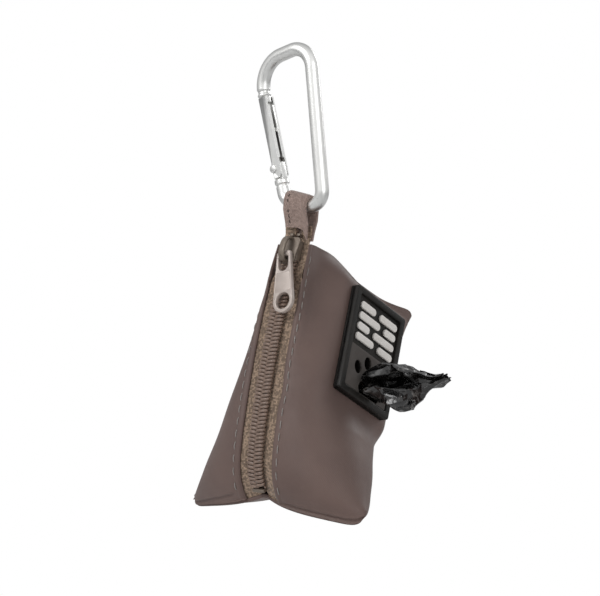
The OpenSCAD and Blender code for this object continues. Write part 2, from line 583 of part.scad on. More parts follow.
// A straight station: outer (y, z) at each of the four places, and the way to the inner face
function leg_ring(p, t) = [for (k = [0 : 7]) let (c = k < 4 ? k : 7 - k, o = p[c] + (k < 4 ? [0, 0] : t))
    [strap_x[c], o[0], o[1]]];
function same(p) = [p, p, p, p];
leg_0 = [-loop_r, -58.4];
leg_1 = [-2.85, -64.0];
strap_rings = concat(
    [leg_ring([[-2.74, -65.3], [-2.74, -65.5], [-2.85, -66.4], [-3.4, -70.2]], [strap_t, 0]),
     leg_ring([[-2.78, -64.8], [-2.78, -64.9], [-2.8, -65.3], [-3.0, -67.0]], [strap_t, 0]),
     leg_ring(same(leg_1), [strap_t, 0]),
     leg_ring(same(leg_0), [strap_t, 0.1])],
    [for (a = [0 : 12 : 180]) eye_ring(a)],
    [leg_ring(same([loop_r, -58.6]), [-strap_t, 0.1]), leg_ring(same([3.5, -63.2]), [-strap_t, 0.1]),
     leg_ring(same([1.8, -67.4]), [-strap_t, 0]), leg_ring(same([0.78, -70.8]), [-strap_t, 0])]);
module strap_loop() color(webbing) loft(strap_rings, true);

// One row of edge stitches: two over the bar, at these angles, and three down the front leg
edge_x = strap_x[0] + 2.5;
leg_lean = -atan2(leg_1[0] - leg_0[0], leg_0[1] - leg_1[1]);
module edge_stitch(y, z, a) translate([edge_x, y, z]) rotate([-a, 0, 0])
    translate([-0.15, -0.17, -0.75]) cube([0.3, 0.14, 1.5]);
module strap_stitches() color(taupe_dark) {
    for (a = [36, 6])
        edge_stitch(-loop_r * cos(a), bar_z(edge_x) + loop_r * sin(a) / cos(bar_slope), a);
    for (f = [0.12, 0.48, 0.84]) let (p = leg_0 + f * (leg_1 - leg_0)) edge_stitch(p[0], p[1], leg_lean);
}

// ---- Roll of bags ----
roll_x = 1.4;
roll_y = -2.5;
roll_z = 14;
roll_lean = 14;
core_r = 7.5;
module in_roll() in_pouch() translate([roll_x, roll_y, roll_z]) rotate([roll_lean, 0, 0]) children();
module roll_core() color(card) in_roll() difference() {
    translate([0, 0, 1]) cylinder(r = core_r, h = roll_l - 2);
    translate([0, 0, -1]) cylinder(r = core_r - 1, h = roll_l + 2);
}
module bag_roll() color(black) in_roll() difference() {
    cylinder(d = roll_d, h = roll_l, $fn = 96);
    translate([0, 0, -1]) cylinder(r = core_r + 0.05, h = roll_l + 2);
}

// The film between the roll and the outlet, then the crumpled end outside
neck = [paw_x, paw_y - 2.6];
function plate_point(x, y, n) = let (c = cos(plate_tilt), s = sin(plate_tilt))
    [plate_x + c * (n + 0.08) - s * y, x, plate_z + s * (n + 0.08) + c * y];
function oval(x, y, n, a, b, turn = 0) = [for (t = [0 : 30 : 330])
    let (u = a * cos(t), w = b * sin(t))
    plate_point(neck[0] + x + u * cos(turn) - w * sin(turn), neck[1] + y + u * sin(turn) + w * cos(turn), n)];
// Ring of the fan inside the pouch: centre, half thickness along y and half length along z
function fan(x, y, z, a, b) = [for (t = [0 : 30 : 330]) [x, y + a * cos(t), z + b * sin(t)]];
module bag_web() color(black) in_pouch() loft([
    fan(13.7, -9, 42, 0.35, 18), fan(15.4, -6, 46.5, 0.6, 14), fan(17.4, -2, 50.6, 1.2, 9),
    fan(19.2, 1.2, 53.2, 3.0, 4.6), oval(0, 0, -1.1, 5.0, 3.2, 10)]);
tail_rings = [
    [0, 0, -1.0, 5.0, 3.2, 10], [0, 0, 3.7, 5.2, 3.3, 10], [-1.4, 0.6, 4.3, 8.6, 5.2, 12],
    [-1.6, 1.2, 8, 9.8, 8.6, 10], [-0.6, 1.6, 12, 9.2, 10.0, -4], [0, 1.2, 16, 8.0, 10.6, 4],
    [0.3, 0.6, 20, 7.0, 10.2, 10], [0.6, 0.2, 25, 6.2, 9.0, -4], [0.2, 0.6, 30, 5.0, 7.0, 6],
    [0, 1.4, 35, 3.4, 4.4, 0], [0, 2.4, 41, 1.2, 1.4, 0]];
module bag_tail() color(black) in_pouch() loft([for (r = tail_rings) oval(r[0], r[1], r[2], r[3], r[4], r[5])]);

carabiner_body();
carabiner_gate();
gate_rivet();
gate_plunger();
gate_spring();
strap_loop();
strap_stitches();
pouch_shell();
topstitch(-1);  // topstitch_left
topstitch(1);  // topstitch_right
top_seam_binding();
bottom_seam_binding();
zip_tape(-1);  // zip_tape_left
zip_tape(1);  // zip_tape_right
zip_coil(-1);  // zip_coil_left
zip_coil(1);  // zip_coil_right
zip_top_stops();
zip_bottom_stop();
slider_body();
pull_tab();
outlet_plate();
outlet_panel();
outlet_bars();
roll_core();
bag_roll();
bag_web();
bag_tail();
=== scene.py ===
# %% [markdown]
# # A dog bag dispenser, dressed for a picture
#
# The object is a small cloth pouch that hangs from a snap hook. A curved zip closes its front, and a
# soft plate on its right side lets the next bag out. The solids come from the frame, which fixes every
# size and joint. This notebook makes what the eye sees: cloth, thread, nylon, film and metal.

# %% Tools and frame
import math

import bmesh
import bpy
import numpy as np
from mathutils import Matrix, Vector


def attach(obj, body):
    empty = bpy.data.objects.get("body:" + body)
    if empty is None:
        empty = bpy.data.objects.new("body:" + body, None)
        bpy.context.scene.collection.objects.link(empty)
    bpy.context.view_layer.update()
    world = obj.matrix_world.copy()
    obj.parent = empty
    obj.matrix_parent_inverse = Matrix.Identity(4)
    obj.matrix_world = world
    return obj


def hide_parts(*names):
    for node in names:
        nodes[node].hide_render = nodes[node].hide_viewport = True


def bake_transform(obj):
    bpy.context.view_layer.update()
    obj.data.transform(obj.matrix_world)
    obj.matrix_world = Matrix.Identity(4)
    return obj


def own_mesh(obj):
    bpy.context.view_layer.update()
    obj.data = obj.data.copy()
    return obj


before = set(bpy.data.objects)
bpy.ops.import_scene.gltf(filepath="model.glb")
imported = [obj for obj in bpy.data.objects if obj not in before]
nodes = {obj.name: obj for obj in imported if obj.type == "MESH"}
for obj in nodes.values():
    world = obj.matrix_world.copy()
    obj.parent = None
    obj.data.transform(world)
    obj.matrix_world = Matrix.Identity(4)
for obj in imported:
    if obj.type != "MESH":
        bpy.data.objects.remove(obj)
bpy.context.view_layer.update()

# %% [markdown]
# ## Camera
#
# A camera can be placed by eye, or worked out from one point whose place in the picture is known. The
# second way is used: the top of the pouch's front edge must land at a fixed spot of a 600 by 596 image,
# seen from 41 degrees to the right and almost level. The camera turns a little instead of shifting.

# %% Camera
picture = np.array([600.0, 596.0])
front_tip = np.array([2.3, -6.2, -63.35]) * 0.001
tip_pixel = np.array([289.7, 221.9])
camera_distance = 0.712
focal_pixels = 1873.7
azimuth, elevation = math.radians(41.2), math.radians(-0.7)
back = Vector((math.sin(azimuth) * math.cos(elevation), -math.cos(azimuth) * math.cos(elevation),
               math.sin(elevation)))
camera_data = bpy.data.cameras.new("camera")
camera_data.sensor_width = 36
camera_data.lens = 36 * focal_pixels / picture[0]
camera_data.clip_start = 0.05
camera = bpy.data.objects.new("camera", camera_data)
bpy.context.scene.collection.objects.link(camera)
seen = Vector(((tip_pixel[0] - picture[0] / 2) / focal_pixels,
               (picture[1] / 2 - tip_pixel[1]) / focal_pixels, -1))
turn = back.to_track_quat("Z", "Y") @ seen.normalized().rotation_difference(Vector((0, 0, -1)))
camera.rotation_mode = "QUATERNION"
camera.rotation_quaternion = turn
camera.location = Vector(front_tip) + camera_distance * back
bpy.context.scene.camera = camera
print("lens", round(camera_data.lens, 1), "mm, camera at", [round(x, 3) for x in camera.location])

# %% [markdown]
# ## Shader maths as plain Python
#
# Node trees are hard to read as lists of links. Here a socket is wrapped in a small class with the
# arithmetic operators, so that a mask can be written as a formula. One method adds any other node.

# %% A socket that can be added and multiplied
class Wire:
    """A shader value. Sums, products and powers of wires and numbers add Math nodes."""

    def __init__(self, tree, socket):
        self.tree, self.socket = tree, socket

    def math(self, operation, *values):
        made = self.tree.nodes.new("ShaderNodeMath")
        made.operation = operation
        for place, value in zip(made.inputs, values):
            if isinstance(value, Wire):
                self.tree.links.new(value.socket, place)
            else:
                place.default_value = value
        return Wire(self.tree, made.outputs[0])

    def __add__(self, other):
        return self.math("ADD", self, other)

    def __sub__(self, other):
        return self.math("SUBTRACT", self, other)

    def __rsub__(self, other):
        return self.math("SUBTRACT", other, self)

    def __mul__(self, other):
        return self.math("MULTIPLY", self, other)

    def __truediv__(self, other):
        return self.math("DIVIDE", self, other)

    def __pow__(self, other):
        return self.math("POWER", self, other)

    def __abs__(self):
        return self.math("ABSOLUTE", self)

    def __gt__(self, other):
        return self.math("GREATER_THAN", self, other)

    __radd__ = __add__
    __rmul__ = __mul__


# %% A finish: one material with its shader
def colour(red, green, blue):
    """Linear colour of an sRGB triple from 0 to 255: ((c + 0.055) / 1.055) ** 2.4."""
    shares = np.array([red, green, blue]) / 255
    linear = np.where(shares > 0.04045, ((shares + 0.055) / 1.055) ** 2.4, shares / 12.92)
    return (*linear.tolist(), 1.0)


class Finish:
    """A material. node() adds any node: its kind, its settings, then its sockets by name or number."""

    def __init__(self, name, **fixed):
        self.material = bpy.data.materials.new(name)
        self.material.use_nodes = True
        self.tree = self.material.node_tree
        self.shader = self.tree.nodes["Principled BSDF"]
        self.feed(self.shader, {key.replace("_", " "): value for key, value in fixed.items()})

    def feed(self, made, sockets):
        for key, value in sockets.items():
            if isinstance(value, Wire):
                self.tree.links.new(value.socket, made.inputs[key])
            else:
                made.inputs[key].default_value = value

    def node(self, kind, settings, sockets, output=0):
        made = self.tree.nodes.new("ShaderNode" + kind)
        for key, value in settings.items():
            if key == "stops":
                ramp = made.color_ramp
                for place, tone in value[2:]:
                    ramp.elements.new(place)
                for stop, (place, tone) in zip(ramp.elements, sorted(value)):
                    stop.position, stop.color = place, tone
            else:
                setattr(made, key, value)
        self.feed(made, sockets)
        return Wire(self.tree, made.outputs[output])

    def place(self, source="Object"):
        return self.node("TexCoord", {}, {}, source)

    def noise(self, at, scale, detail=3.0, roughness=0.5):
        return self.node("TexNoise", {}, {"Vector": at, "Scale": scale, "Detail": detail,
                                          "Roughness": roughness}, "Fac")

    def part(self, at, axis):
        return self.node("SeparateXYZ", {}, {"Vector": at}, axis)

    def mixed(self, share, first, second):
        return self.node("Mix", {"data_type": "RGBA"}, {0: share, 6: first, 7: second}, 2)

    def ranged(self, value, low, high, new_low=0.0, new_high=1.0):
        return self.node("MapRange", {}, {"Value": value, "From Min": low, "From Max": high,
                                          "To Min": new_low, "To Max": new_high})

    def relief(self, height, depth_mm, strength=1.0):
        bump = self.node("Bump", {}, {"Height": height, "Distance": depth_mm * 0.001, "Strength": strength})
        self.feed(self.shader, {"Normal": bump})

    def paint(self, **varying):
        self.feed(self.shader, {key.replace("_", " "): value for key, value in varying.items()})
        return self


# %% [markdown]
# ## Metals
#
# The hook is bent from aluminium rod and tumbled until it is satin. Tumbling leaves short fine
# scratches in no direction, so roughness and a very low bump come from noise, and edges aren't drawn
# on. Steel pieces are darker. The zip's metal is painted, and shows its paint as a thin grain.

# %% Metal finishes
aluminium = Finish("satin_aluminium", Metallic=1.0)
at = aluminium.place()
grain = aluminium.noise(at, 2600, 4)
cloud = aluminium.noise(at, 160, 2)
scratch = aluminium.noise(aluminium.node("Mapping", {}, {"Vector": at, "Scale": (500, 500, 4000)}), 1.0, 2)
aluminium.paint(Base_Color=aluminium.mixed(cloud, colour(228, 228, 226), colour(244, 244, 242)),
                Roughness=aluminium.ranged(grain * 0.5 + scratch * 0.5, 0.3, 0.7, 0.26, 0.36))
aluminium.relief(grain * 0.6 + scratch * 0.4, 0.006, 0.3)

steel = Finish("plain_steel", Metallic=1.0)
at = steel.place()
grain = steel.noise(at, 1800, 3)
steel.paint(Base_Color=steel.mixed(grain, colour(120, 118, 116), colour(165, 163, 160)),
            Roughness=steel.ranged(grain, 0.3, 0.7, 0.28, 0.45))
steel.relief(grain, 0.015, 0.4)

slider_paint = Finish("slider_paint", Metallic=0.35, Coat_Weight=0.1, Coat_Roughness=0.35)
at = slider_paint.place()
fleck = slider_paint.noise(at, 3200, 2)
tone = slider_paint.noise(at, 260, 2)
slider_paint.paint(Base_Color=slider_paint.mixed(slider_paint.ranged(tone, 0.35, 0.65),
                                                 colour(116, 104, 93), colour(136, 124, 112)),
                   Roughness=slider_paint.ranged(fleck, 0.35, 0.65, 0.4, 0.55))
slider_paint.relief(fleck, 0.02, 0.6)

enamel = Finish("tab_enamel", Metallic=0.12, Coat_Weight=0.25, Coat_Roughness=0.25)
at = enamel.place()
tone = enamel.noise(at, 210, 3)
peel = enamel.noise(at, 1500, 2)
enamel.paint(Base_Color=enamel.mixed(enamel.ranged(tone, 0.3, 0.7),
                                     colour(188, 174, 165), colour(205, 192, 184)),
             Roughness=enamel.ranged(peel, 0.3, 0.7, 0.32, 0.44))
enamel.relief(peel * 0.5 + tone * 0.5, 0.03, 0.6)
print("metals:", [f.material.name for f in (aluminium, steel, slider_paint, enamel)])

# %% [markdown]
# ## Cloth, webbing and thread
#
# The pouch's cloth has a smooth coat: its colour drifts very little, and only a tight grain catches
# the light. The zip tape is woven from mixed yarn, so its pattern follows the piece's own UV map, in
# millimetres. The webbing is the same plain weave in colours that are closer together.

# %% Textile finishes
cloth = Finish("coated_cloth", Sheen_Weight=0.12, Sheen_Roughness=0.5)
at = cloth.place()
weave = cloth.node("TexWave", {"wave_type": "BANDS", "bands_direction": "DIAGONAL"},
                   {"Vector": at, "Scale": 620, "Distortion": 3.0, "Detail": 2.0, "Detail Scale": 2.0}, "Fac")
grain = cloth.noise(at, 2400, 4, 0.6)
drift = cloth.noise(at, 42, 3)
rub = cloth.noise(at, 420, 5, 0.65)
base = cloth.mixed(cloth.ranged(drift, 0.35, 0.65), colour(102, 82, 76), colour(112, 91, 84))
cloth.paint(Base_Color=cloth.mixed(cloth.ranged(rub, 0.55, 0.8, 0, 0.35), base, colour(121, 101, 94)),
            Roughness=cloth.ranged(rub * 0.6 + grain * 0.4, 0.35, 0.65, 0.46, 0.62))
cloth.relief(grain * 0.55 + weave * 0.15 + rub * 0.3, 0.09, 0.55)


def woven(name, light, dark, across, along, speckle, rough=0.85):
    """A plain weave on UVs in millimetres: yarns along U of width across, and along V of width along.
    Height = |sin(pi u / across)| where the warp is on top, |sin(pi v / along)| where the weft is."""
    made = Finish(name, Roughness=rough, Sheen_Weight=0.25, Sheen_Roughness=0.5)
    at = made.place("UV")
    u, v = made.part(at, "X") / across, made.part(at, "Y") / along
    warp, weft = [abs(phase.math("SINE", phase)) for phase in (u * math.pi, v * math.pi)]
    at_yarns = made.node("CombineXYZ", {}, {"X": u, "Y": v})
    checker = made.node("TexChecker", {}, {"Vector": at_yarns, "Scale": 1.0}, "Fac")
    height = warp * checker + weft * (1 - checker)
    one_crossing = made.node("CombineXYZ", {}, {"X": u.math("FLOOR", u), "Y": v.math("FLOOR", v)})
    fleck = made.node("TexWhiteNoise", {"noise_dimensions": "2D"}, {"Vector": one_crossing}, "Value")
    fibre = made.noise(made.place(), 5200, 2)
    # The colour also follows the weave's height, so the grooves between yarns are darker: this is painted
    # shade. The fleck per crossing is the mixed yarn's own colour, and the fibre noise is its own tone.
    share = made.ranged(fleck, 0.5 - speckle, 0.5 + speckle) * 0.5 + height * 0.35 + fibre * 0.15
    made.paint(Base_Color=made.mixed(share, dark, light))
    made.relief(height * 0.8 + fibre * 0.2, 0.16, 0.8)
    return made


webbing = woven("webbing", colour(186, 160, 149), colour(120, 99, 90), 0.7, 0.55, 0.45, 0.6)
tape_weave = woven("tape_weave", colour(198, 170, 145), colour(64, 50, 42), 0.75, 0.6, 0.22)
binding_weave = woven("binding_weave", colour(92, 78, 72), colour(60, 49, 45), 0.5, 0.4, 0.4)


def thread(name, light, dark):
    """Two-ply sewing thread: slanting bands along its UVs, a little fuzz from noise."""
    made = Finish(name, Roughness=0.7, Sheen_Weight=0.3)
    at = made.place("UV")
    band = made.node("TexWave", {"wave_type": "BANDS", "bands_direction": "DIAGONAL"},
                     {"Vector": at, "Scale": 2.2}, "Fac")
    fuzz = made.noise(made.place(), 6000, 2)
    # The slanting bands darken the colour in the grooves between the plies as well as shaping the bump: this
    # is painted shade. The fuzz is the thread's own uneven tone.
    made.paint(Base_Color=made.mixed(band * 0.7 + fuzz * 0.3, dark, light))
    made.relief(band * 0.7 + fuzz * 0.3, 0.06, 0.7)
    return made


pale_thread = thread("pale_thread", colour(186, 180, 175), colour(138, 132, 127))
dark_thread = thread("dark_thread", colour(70, 58, 52), colour(40, 32, 28))
textiles = (cloth, webbing, tape_weave, binding_weave, pale_thread, dark_thread)
print("textiles:", [f.material.name for f in textiles])

# %% [markdown]
# ## Nylon, rubber, print, card and film
#
# The coil is drawn nylon, slightly clear at its skin, so it gets a thin coat. The plate is soft black
# rubber with a dusty, uneven gloss. The bag is thin film: dark, glossy, and full of tiny creases,
# whose ridges are painted a little paler where they catch the light.

# %% Moulded, printed and film finishes
nylon = Finish("coil_nylon", Coat_Weight=0.2, Coat_Roughness=0.2)
at = nylon.place()
tone = nylon.noise(at, 700, 3)
nylon.paint(Base_Color=nylon.mixed(nylon.ranged(tone, 0.3, 0.7), colour(122, 101, 89), colour(150, 126, 112)),
            Roughness=nylon.ranged(tone, 0.3, 0.7, 0.34, 0.48))
nylon.relief(nylon.noise(at, 4200, 2), 0.03, 0.5)

rubber = Finish("black_rubber", Specular_IOR_Level=0.3)
at = rubber.place()
dust = rubber.noise(at, 95, 5, 0.65)
pores = rubber.noise(at, 2600, 3)
rubber.paint(Base_Color=rubber.mixed(rubber.ranged(dust, 0.45, 0.75, 0.0, 0.8),
                                     colour(21, 19, 17), colour(46, 42, 38)),
             Roughness=rubber.ranged(dust * 0.6 + pores * 0.4, 0.35, 0.65, 0.42, 0.66))
rubber.relief(pores * 0.7 + dust * 0.3, 0.06, 0.5)

panel = Finish("grey_panel", Specular_IOR_Level=0.35)
at = panel.place()
speck = panel.noise(at, 3600, 3)
drift = panel.noise(at, 130, 3)
panel.paint(Base_Color=panel.mixed(speck * 0.5 + drift * 0.5, colour(72, 67, 64), colour(98, 92, 88)),
            Roughness=panel.ranged(speck, 0.3, 0.7, 0.6, 0.8))
panel.relief(speck, 0.05, 0.6)

raised = Finish("raised_print", Coat_Weight=0.1, Coat_Roughness=0.3)
at = raised.place()
drift = raised.noise(at, 240, 3)
skin = raised.noise(at, 2200, 2)
raised.paint(Base_Color=raised.mixed(raised.ranged(drift, 0.3, 0.7),
                                     colour(246, 240, 234), colour(255, 251, 246)),
             Roughness=raised.ranged(skin, 0.3, 0.7, 0.42, 0.56))
raised.relief(skin, 0.03, 0.5)

card = Finish("card_tube", Roughness=0.9)
at = card.place()
fibre = card.noise(card.node("Mapping", {}, {"Vector": at, "Scale": (900, 900, 220)}), 1.0, 5, 0.7)
card.paint(Base_Color=card.mixed(fibre, colour(150, 119, 84), colour(196, 166, 126)))
card.relief(fibre, 0.08, 0.6)

film = Finish("bag_film", Coat_Weight=0.5, Coat_Roughness=0.06, Specular_IOR_Level=0.55)
at = film.place()
cells = film.node("TexVoronoi", {"feature": "F1"},
                  {"Vector": at, "Scale": 300.0, "Randomness": 1.0}, "Distance")
crease = film.noise(at, 420, 3, 0.5)
ridge = film.ranged(abs(film.noise(at, 230, 2, 0.4) - 0.5), 0.0, 0.035, 1.0, 0.0)
ridge = ridge * film.ranged(film.noise(at, 110, 2), 0.42, 0.6)
dark = film.mixed(film.ranged(crease, 0.35, 0.7), colour(15, 14, 14), colour(30, 29, 29))
film.paint(Base_Color=film.mixed(ridge * 0.6, dark, colour(140, 136, 133)),
           Roughness=film.ranged(crease, 0.3, 0.7, 0.1, 0.24))
film.relief(cells * 0.6 + crease * 0.4, 0.35, 0.6)
print("others:", [f.material.name for f in (nylon, rubber, panel, raised, card, film)])

# %% [markdown]
# ## From numbers to meshes
#
# Every new piece is a grid of points worked out at once by numpy. Sizes are in millimetres while a
# shape is worked out, and metres when it goes into a mesh. Three builders are enough: a tube through
# rings, a slab between two grids, and a flat plate with rounded edges cut from an outline.

# %% Mesh builders
def add_piece(name, points, faces, finish, body, uv=None, stands_for=(), smooth=60):
    """Puts points (mm) and faces in a mesh with doubles merged and normals outwards, then makes it ride."""
    mesh = bpy.data.meshes.new(name)
    points = np.asarray(points, float).reshape(-1, 3)
    mesh.from_pydata((points * 0.001).tolist(), [], [list(f) for f in faces])
    if uv is not None:
        layer = mesh.uv_layers.new(name="UVMap")
        index = np.zeros(len(mesh.loops), int)
        mesh.loops.foreach_get("vertex_index", index)
        layer.data.foreach_set("uv", np.asarray(uv, np.float32).reshape(-1, 2)[index].ravel())
    return dress(name, mesh, finish, body, stands_for, smooth)


def dress(name, mesh, finish, body, stands_for=(), smooth=60):
    """Merges doubles, turns normals outwards, shades smooth below an angle, then gives finish and
    body."""
    work = bmesh.new()
    work.from_mesh(mesh)
    bmesh.ops.remove_doubles(work, verts=work.verts, dist=2e-6)
    bmesh.ops.dissolve_degenerate(work, edges=work.edges, dist=1e-7)
    bmesh.ops.recalc_face_normals(work, faces=work.faces)
    work.to_mesh(mesh)
    work.free()
    mesh.shade_smooth()
    mesh.set_sharp_from_angle(angle=math.radians(smooth))
    mesh.materials.append(finish.material)
    piece = bpy.data.objects.new(name, mesh)
    bpy.context.scene.collection.objects.link(piece)
    if body:
        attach(piece, body)
    if stands_for:
        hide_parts(*stands_for)
    print(f"{name}: {len(mesh.vertices)} points, {len(mesh.polygons)} faces, rides on {body}")
    return piece


def ring_faces(rings, around, start=0):
    """Quads of a closed tube: ring j, corner i to ring j + 1, corner i + 1."""
    j, i = np.meshgrid(np.arange(rings - 1), np.arange(around), indexing="ij")
    k = (i + 1) % around
    quads = np.stack([j * around + i, j * around + k, (j + 1) * around + k, (j + 1) * around + i], -1)
    return (quads.reshape(-1, 4) + start).tolist()


def tube(points):
    """Rings of points, shape (rings, around, 3), closed at both ends by a fan to the ring's middle."""
    rings, around = points.shape[:2]
    flat = np.concatenate([points.reshape(-1, 3), points[[0, -1]].mean(1)])
    i = np.arange(around)
    k = (i + 1) % around
    first, last = rings * around, rings * around + 1
    low = np.stack([k, i, np.full(around, first)], -1).tolist()
    high = np.stack([i + (rings - 1) * around, k + (rings - 1) * around, np.full(around, last)], -1).tolist()
    return flat, ring_faces(rings, around) + low + high


def slab(outer, inner):
    """A sheet with thickness: outer row then inner row backwards make one ring; both ends are capped."""
    rows, cols = outer.shape[:2]
    rings = np.concatenate([outer, inner[:, ::-1]], 1)
    around = 2 * cols
    i = np.arange(cols - 1)
    far = around - 1 - i
    low = np.stack([i, far, far - 1, i + 1], -1)
    high = low[:, ::-1] + (rows - 1) * around
    return rings.reshape(-1, 3), ring_faces(rows, around) + low.tolist() + high.tolist()


def both(values):
    """The same UV for the outer and inner side of a slab."""
    return np.concatenate([values, values[:, ::-1]], 1).reshape(-1, 2)


def join_shapes(shapes):
    """Several (points, faces) as one."""
    points, faces, start = [], [], 0
    for p, f in shapes:
        points.append(p)
        faces += [[c + start for c in face] for face in f]
        start += len(p)
    return np.concatenate(points), faces


# %% A plate with rounded edges, cut from outlines
def cut_plate(outlines, half, edge, middle=0.0):
    """Points and faces of a flat piece: outlines in its plane (the first is the rim, the rest are
    holes), half its thickness, edge the radius of its rounded edges, middle its height."""
    curve = bpy.data.curves.new("outline", "CURVE")
    curve.dimensions, curve.fill_mode = "2D", "BOTH"
    curve.extrude, curve.bevel_depth, curve.bevel_resolution, curve.offset = half - edge, edge, 2, -edge
    for outline in outlines:
        spline = curve.splines.new("POLY")
        spline.points.add(len(outline) - 1)
        flat = np.column_stack([outline, np.zeros(len(outline)), np.ones(len(outline))])
        spline.points.foreach_set("co", flat.ravel())
        spline.use_cyclic_u = True
    holder = bpy.data.objects.new("outline", curve)
    bpy.context.scene.collection.objects.link(holder)
    mesh = bpy.data.meshes.new_from_object(holder)
    points = np.zeros(len(mesh.vertices) * 3)
    mesh.vertices.foreach_get("co", points)
    faces = [list(p.vertices) for p in mesh.polygons]
    bpy.data.objects.remove(holder)
    bpy.data.curves.remove(curve)
    bpy.data.meshes.remove(mesh)
    return points.reshape(-1, 3) + [0, 0, middle], faces


def circle(x, y, r, count=48, squash=1.0, turned=0.0):
    """Round or oval outline: (r cos t, squash r sin t), turned by an angle in degrees, about (x, y)."""
    t = np.linspace(0, 2 * np.pi, count, endpoint=False)
    u, w, a = r * np.cos(t), squash * r * np.sin(t), math.radians(turned)
    return np.column_stack([x + u * math.cos(a) - w * math.sin(a), y + u * math.sin(a) + w * math.cos(a)])


def rounded(w, h, r, x=0.0, y=0.0, count=8):
    """Rectangle w by h whose corners are quarter circles of radius r."""
    t = np.radians(np.arange(4)[:, None] * 90 + np.linspace(0, 90, count)[None])
    cx = np.array([1, -1, -1, 1])[:, None] * (w / 2 - r)
    cy = np.array([1, 1, -1, -1])[:, None] * (h / 2 - r)
    return np.column_stack([(x + cx + r * np.cos(t)).ravel(), (y + cy + r * np.sin(t)).ravel()])


def hull_of(circles, count=32):
    """Outline round several circles (x, y, r): the convex hull of their points, walked by angle."""
    p = np.concatenate([circle(x, y, r, count) for x, y, r in circles])
    p = p[np.lexsort((p[:, 1], p[:, 0]))]

    def chain(points):
        out = []
        for q in points:
            while len(out) > 1 and np.cross(out[-1] - out[-2], q - out[-2]) <= 1e-9:
                out.pop()
            out.append(q)
        return out[:-1]

    return np.array(chain(p) + chain(p[::-1]))


def box_shape(low, high, edge=0.15):
    """A box with rounded upright edges and bevelled rims."""
    low, high = np.array(low, float), np.array(high, float)
    w, h, d = high - low
    x, y, z = (low + high) / 2
    return cut_plate([rounded(w, h, min(edge * 1.5, w / 2.1, h / 2.1), x, y, 5)],
                     d / 2, min(edge, d / 2.2, w / 4, h / 4), z)


print("builders ready; a test plate has", len(cut_plate([rounded(4, 3, 0.5)], 0.5, 0.2)[0]), "points")

# %% [markdown]
# ## Where the pouch is
#
# The pouch leans back as it hangs. Its pieces are worked out in its own coordinates, with z from the
# bottom seam to the top seam, and then turned and moved to the frame. Small placing functions cover
# everything that is sewn to it: the pouch itself, a spot on the zip's arc and the outlet plate.

# %% Sizes and placing functions
pouch_w, pouch_h, lean = 85.0, 103.4, math.radians(27)
apex = np.array([2.3, -6.2, -63.35])
fabric_t, window_half = 0.9, 8.8
# The zip's arc: its two ends as (y, z), and how far it bows out between them
zip_top, zip_low, zip_bow = np.array([-36.3, 96.0]), np.array([-19.1, 13.1]), 2.4
chord = np.linalg.norm(zip_low - zip_top)
zip_r = chord**2 / (8 * zip_bow) + zip_bow / 2
zip_in = np.array([-(zip_low[1] - zip_top[1]), zip_low[0] - zip_top[0]]) / chord
zip_c = (zip_top + zip_low) / 2 + zip_in * (zip_r - zip_bow)
plate_x, plate_z, plate_tilt = 19.6, 68.8, math.radians(8.5)
plate_w, plate_h, plate_t = 32.5, 43.0, 3.5


def pouch(p):
    """Pouch coordinates to the frame: shift by (0, w/2, -h), turn by -27 degrees about X, add the apex."""
    x, y, z = p[..., 0], p[..., 1] + pouch_w / 2, p[..., 2] - pouch_h
    c, s = math.cos(-lean), math.sin(-lean)
    return np.stack([x, y * c - z * s, y * s + z * c], -1) + apex


def on_zip(p, z):
    """Local (across, up the zip, outwards) at height z of the zip's arc, to the frame."""
    a = math.asin((z - zip_c[1]) / zip_r)
    start = np.array([0, zip_c[0] - zip_r * math.cos(a), zip_c[1] + zip_r * math.sin(a)])
    axes = np.array([[1, 0, 0], [0, math.sin(a), math.cos(a)], [0, -math.cos(a), math.sin(a)]])
    return pouch(start + p @ axes)


def plate_to_pouch(p):
    """Local (across, up, outwards) of the outlet plate, to pouch coordinates: 0.08 mm off the cloth."""
    c, s = math.cos(plate_tilt), math.sin(plate_tilt)
    axes = np.array([[0, 1, 0], [-s, 0, c], [c, 0, s]])
    return np.array([plate_x, 0, plate_z]) + (p + [0, 0, 0.08]) @ axes


def on_plate(p):
    """Local (across, up, outwards) of the outlet plate, to the frame."""
    return pouch(plate_to_pouch(p))


print("zip radius", round(zip_r, 1), "mm, its centre", pouch(np.array([0, *zip_c])).round(1))

# %% [markdown]
# ## The pouch's cloth
#
# Two seams at right angles turn a tube of cloth into a pouch with four faces. It could be sewn and
# inflated by a cloth simulation, but the photograph's outline is known, so a formula fits it better:
# each height has a rounded section whose width shrinks to the top seam as its depth grows. Creases,
# dents and the puffed fold beside the zip are then added along the surface's own direction.

# %% The pouch's section, as a function of height and turn
# The turn that half the zip's straight strip takes, then the exponents of side, back and section
strip_turn, side_curve, back_curve, roundness = 11.5, 0.95, 0.40, 2 / 2.2
# Bottom seam: its rise at the middle, how sharp that peak is, its bow forwards, the lift of its ends
seam_rise, seam_peak, seam_bow, corner_lift = 5.2, 4, 9.0, 3.2
# Top seam: its sag and its back corner's lift. Then the exponent at the zip's foot and the folds' drop
top_sag, corner_up, keel, fold_drop = 3.2, 3.6, 22, 0.055
# How far the sides flare at the foot, and the exponent that draws the back in there
foot, heel_in = 2.2, 32


def step(lo, hi, x):
    """0 below lo, 1 above hi, and 3t^2 - 2t^3 between."""
    t = np.clip((x - lo) / (hi - lo), 0, 1)
    return t * t * (3 - 2 * t)


def power(x, p):
    """x to the p, and 0 where x isn't positive."""
    return np.where(x > 0, np.maximum(x, 1e-12) ** p, 0.0)


def signed(x, p):
    """The sign of x times |x| to the p: makes an oval squarer, the lower p is."""
    return np.sign(x) * np.abs(x) ** p


def unit(v):
    """Vectors divided by their own length."""
    return v / np.linalg.norm(v, axis=-1, keepdims=True)


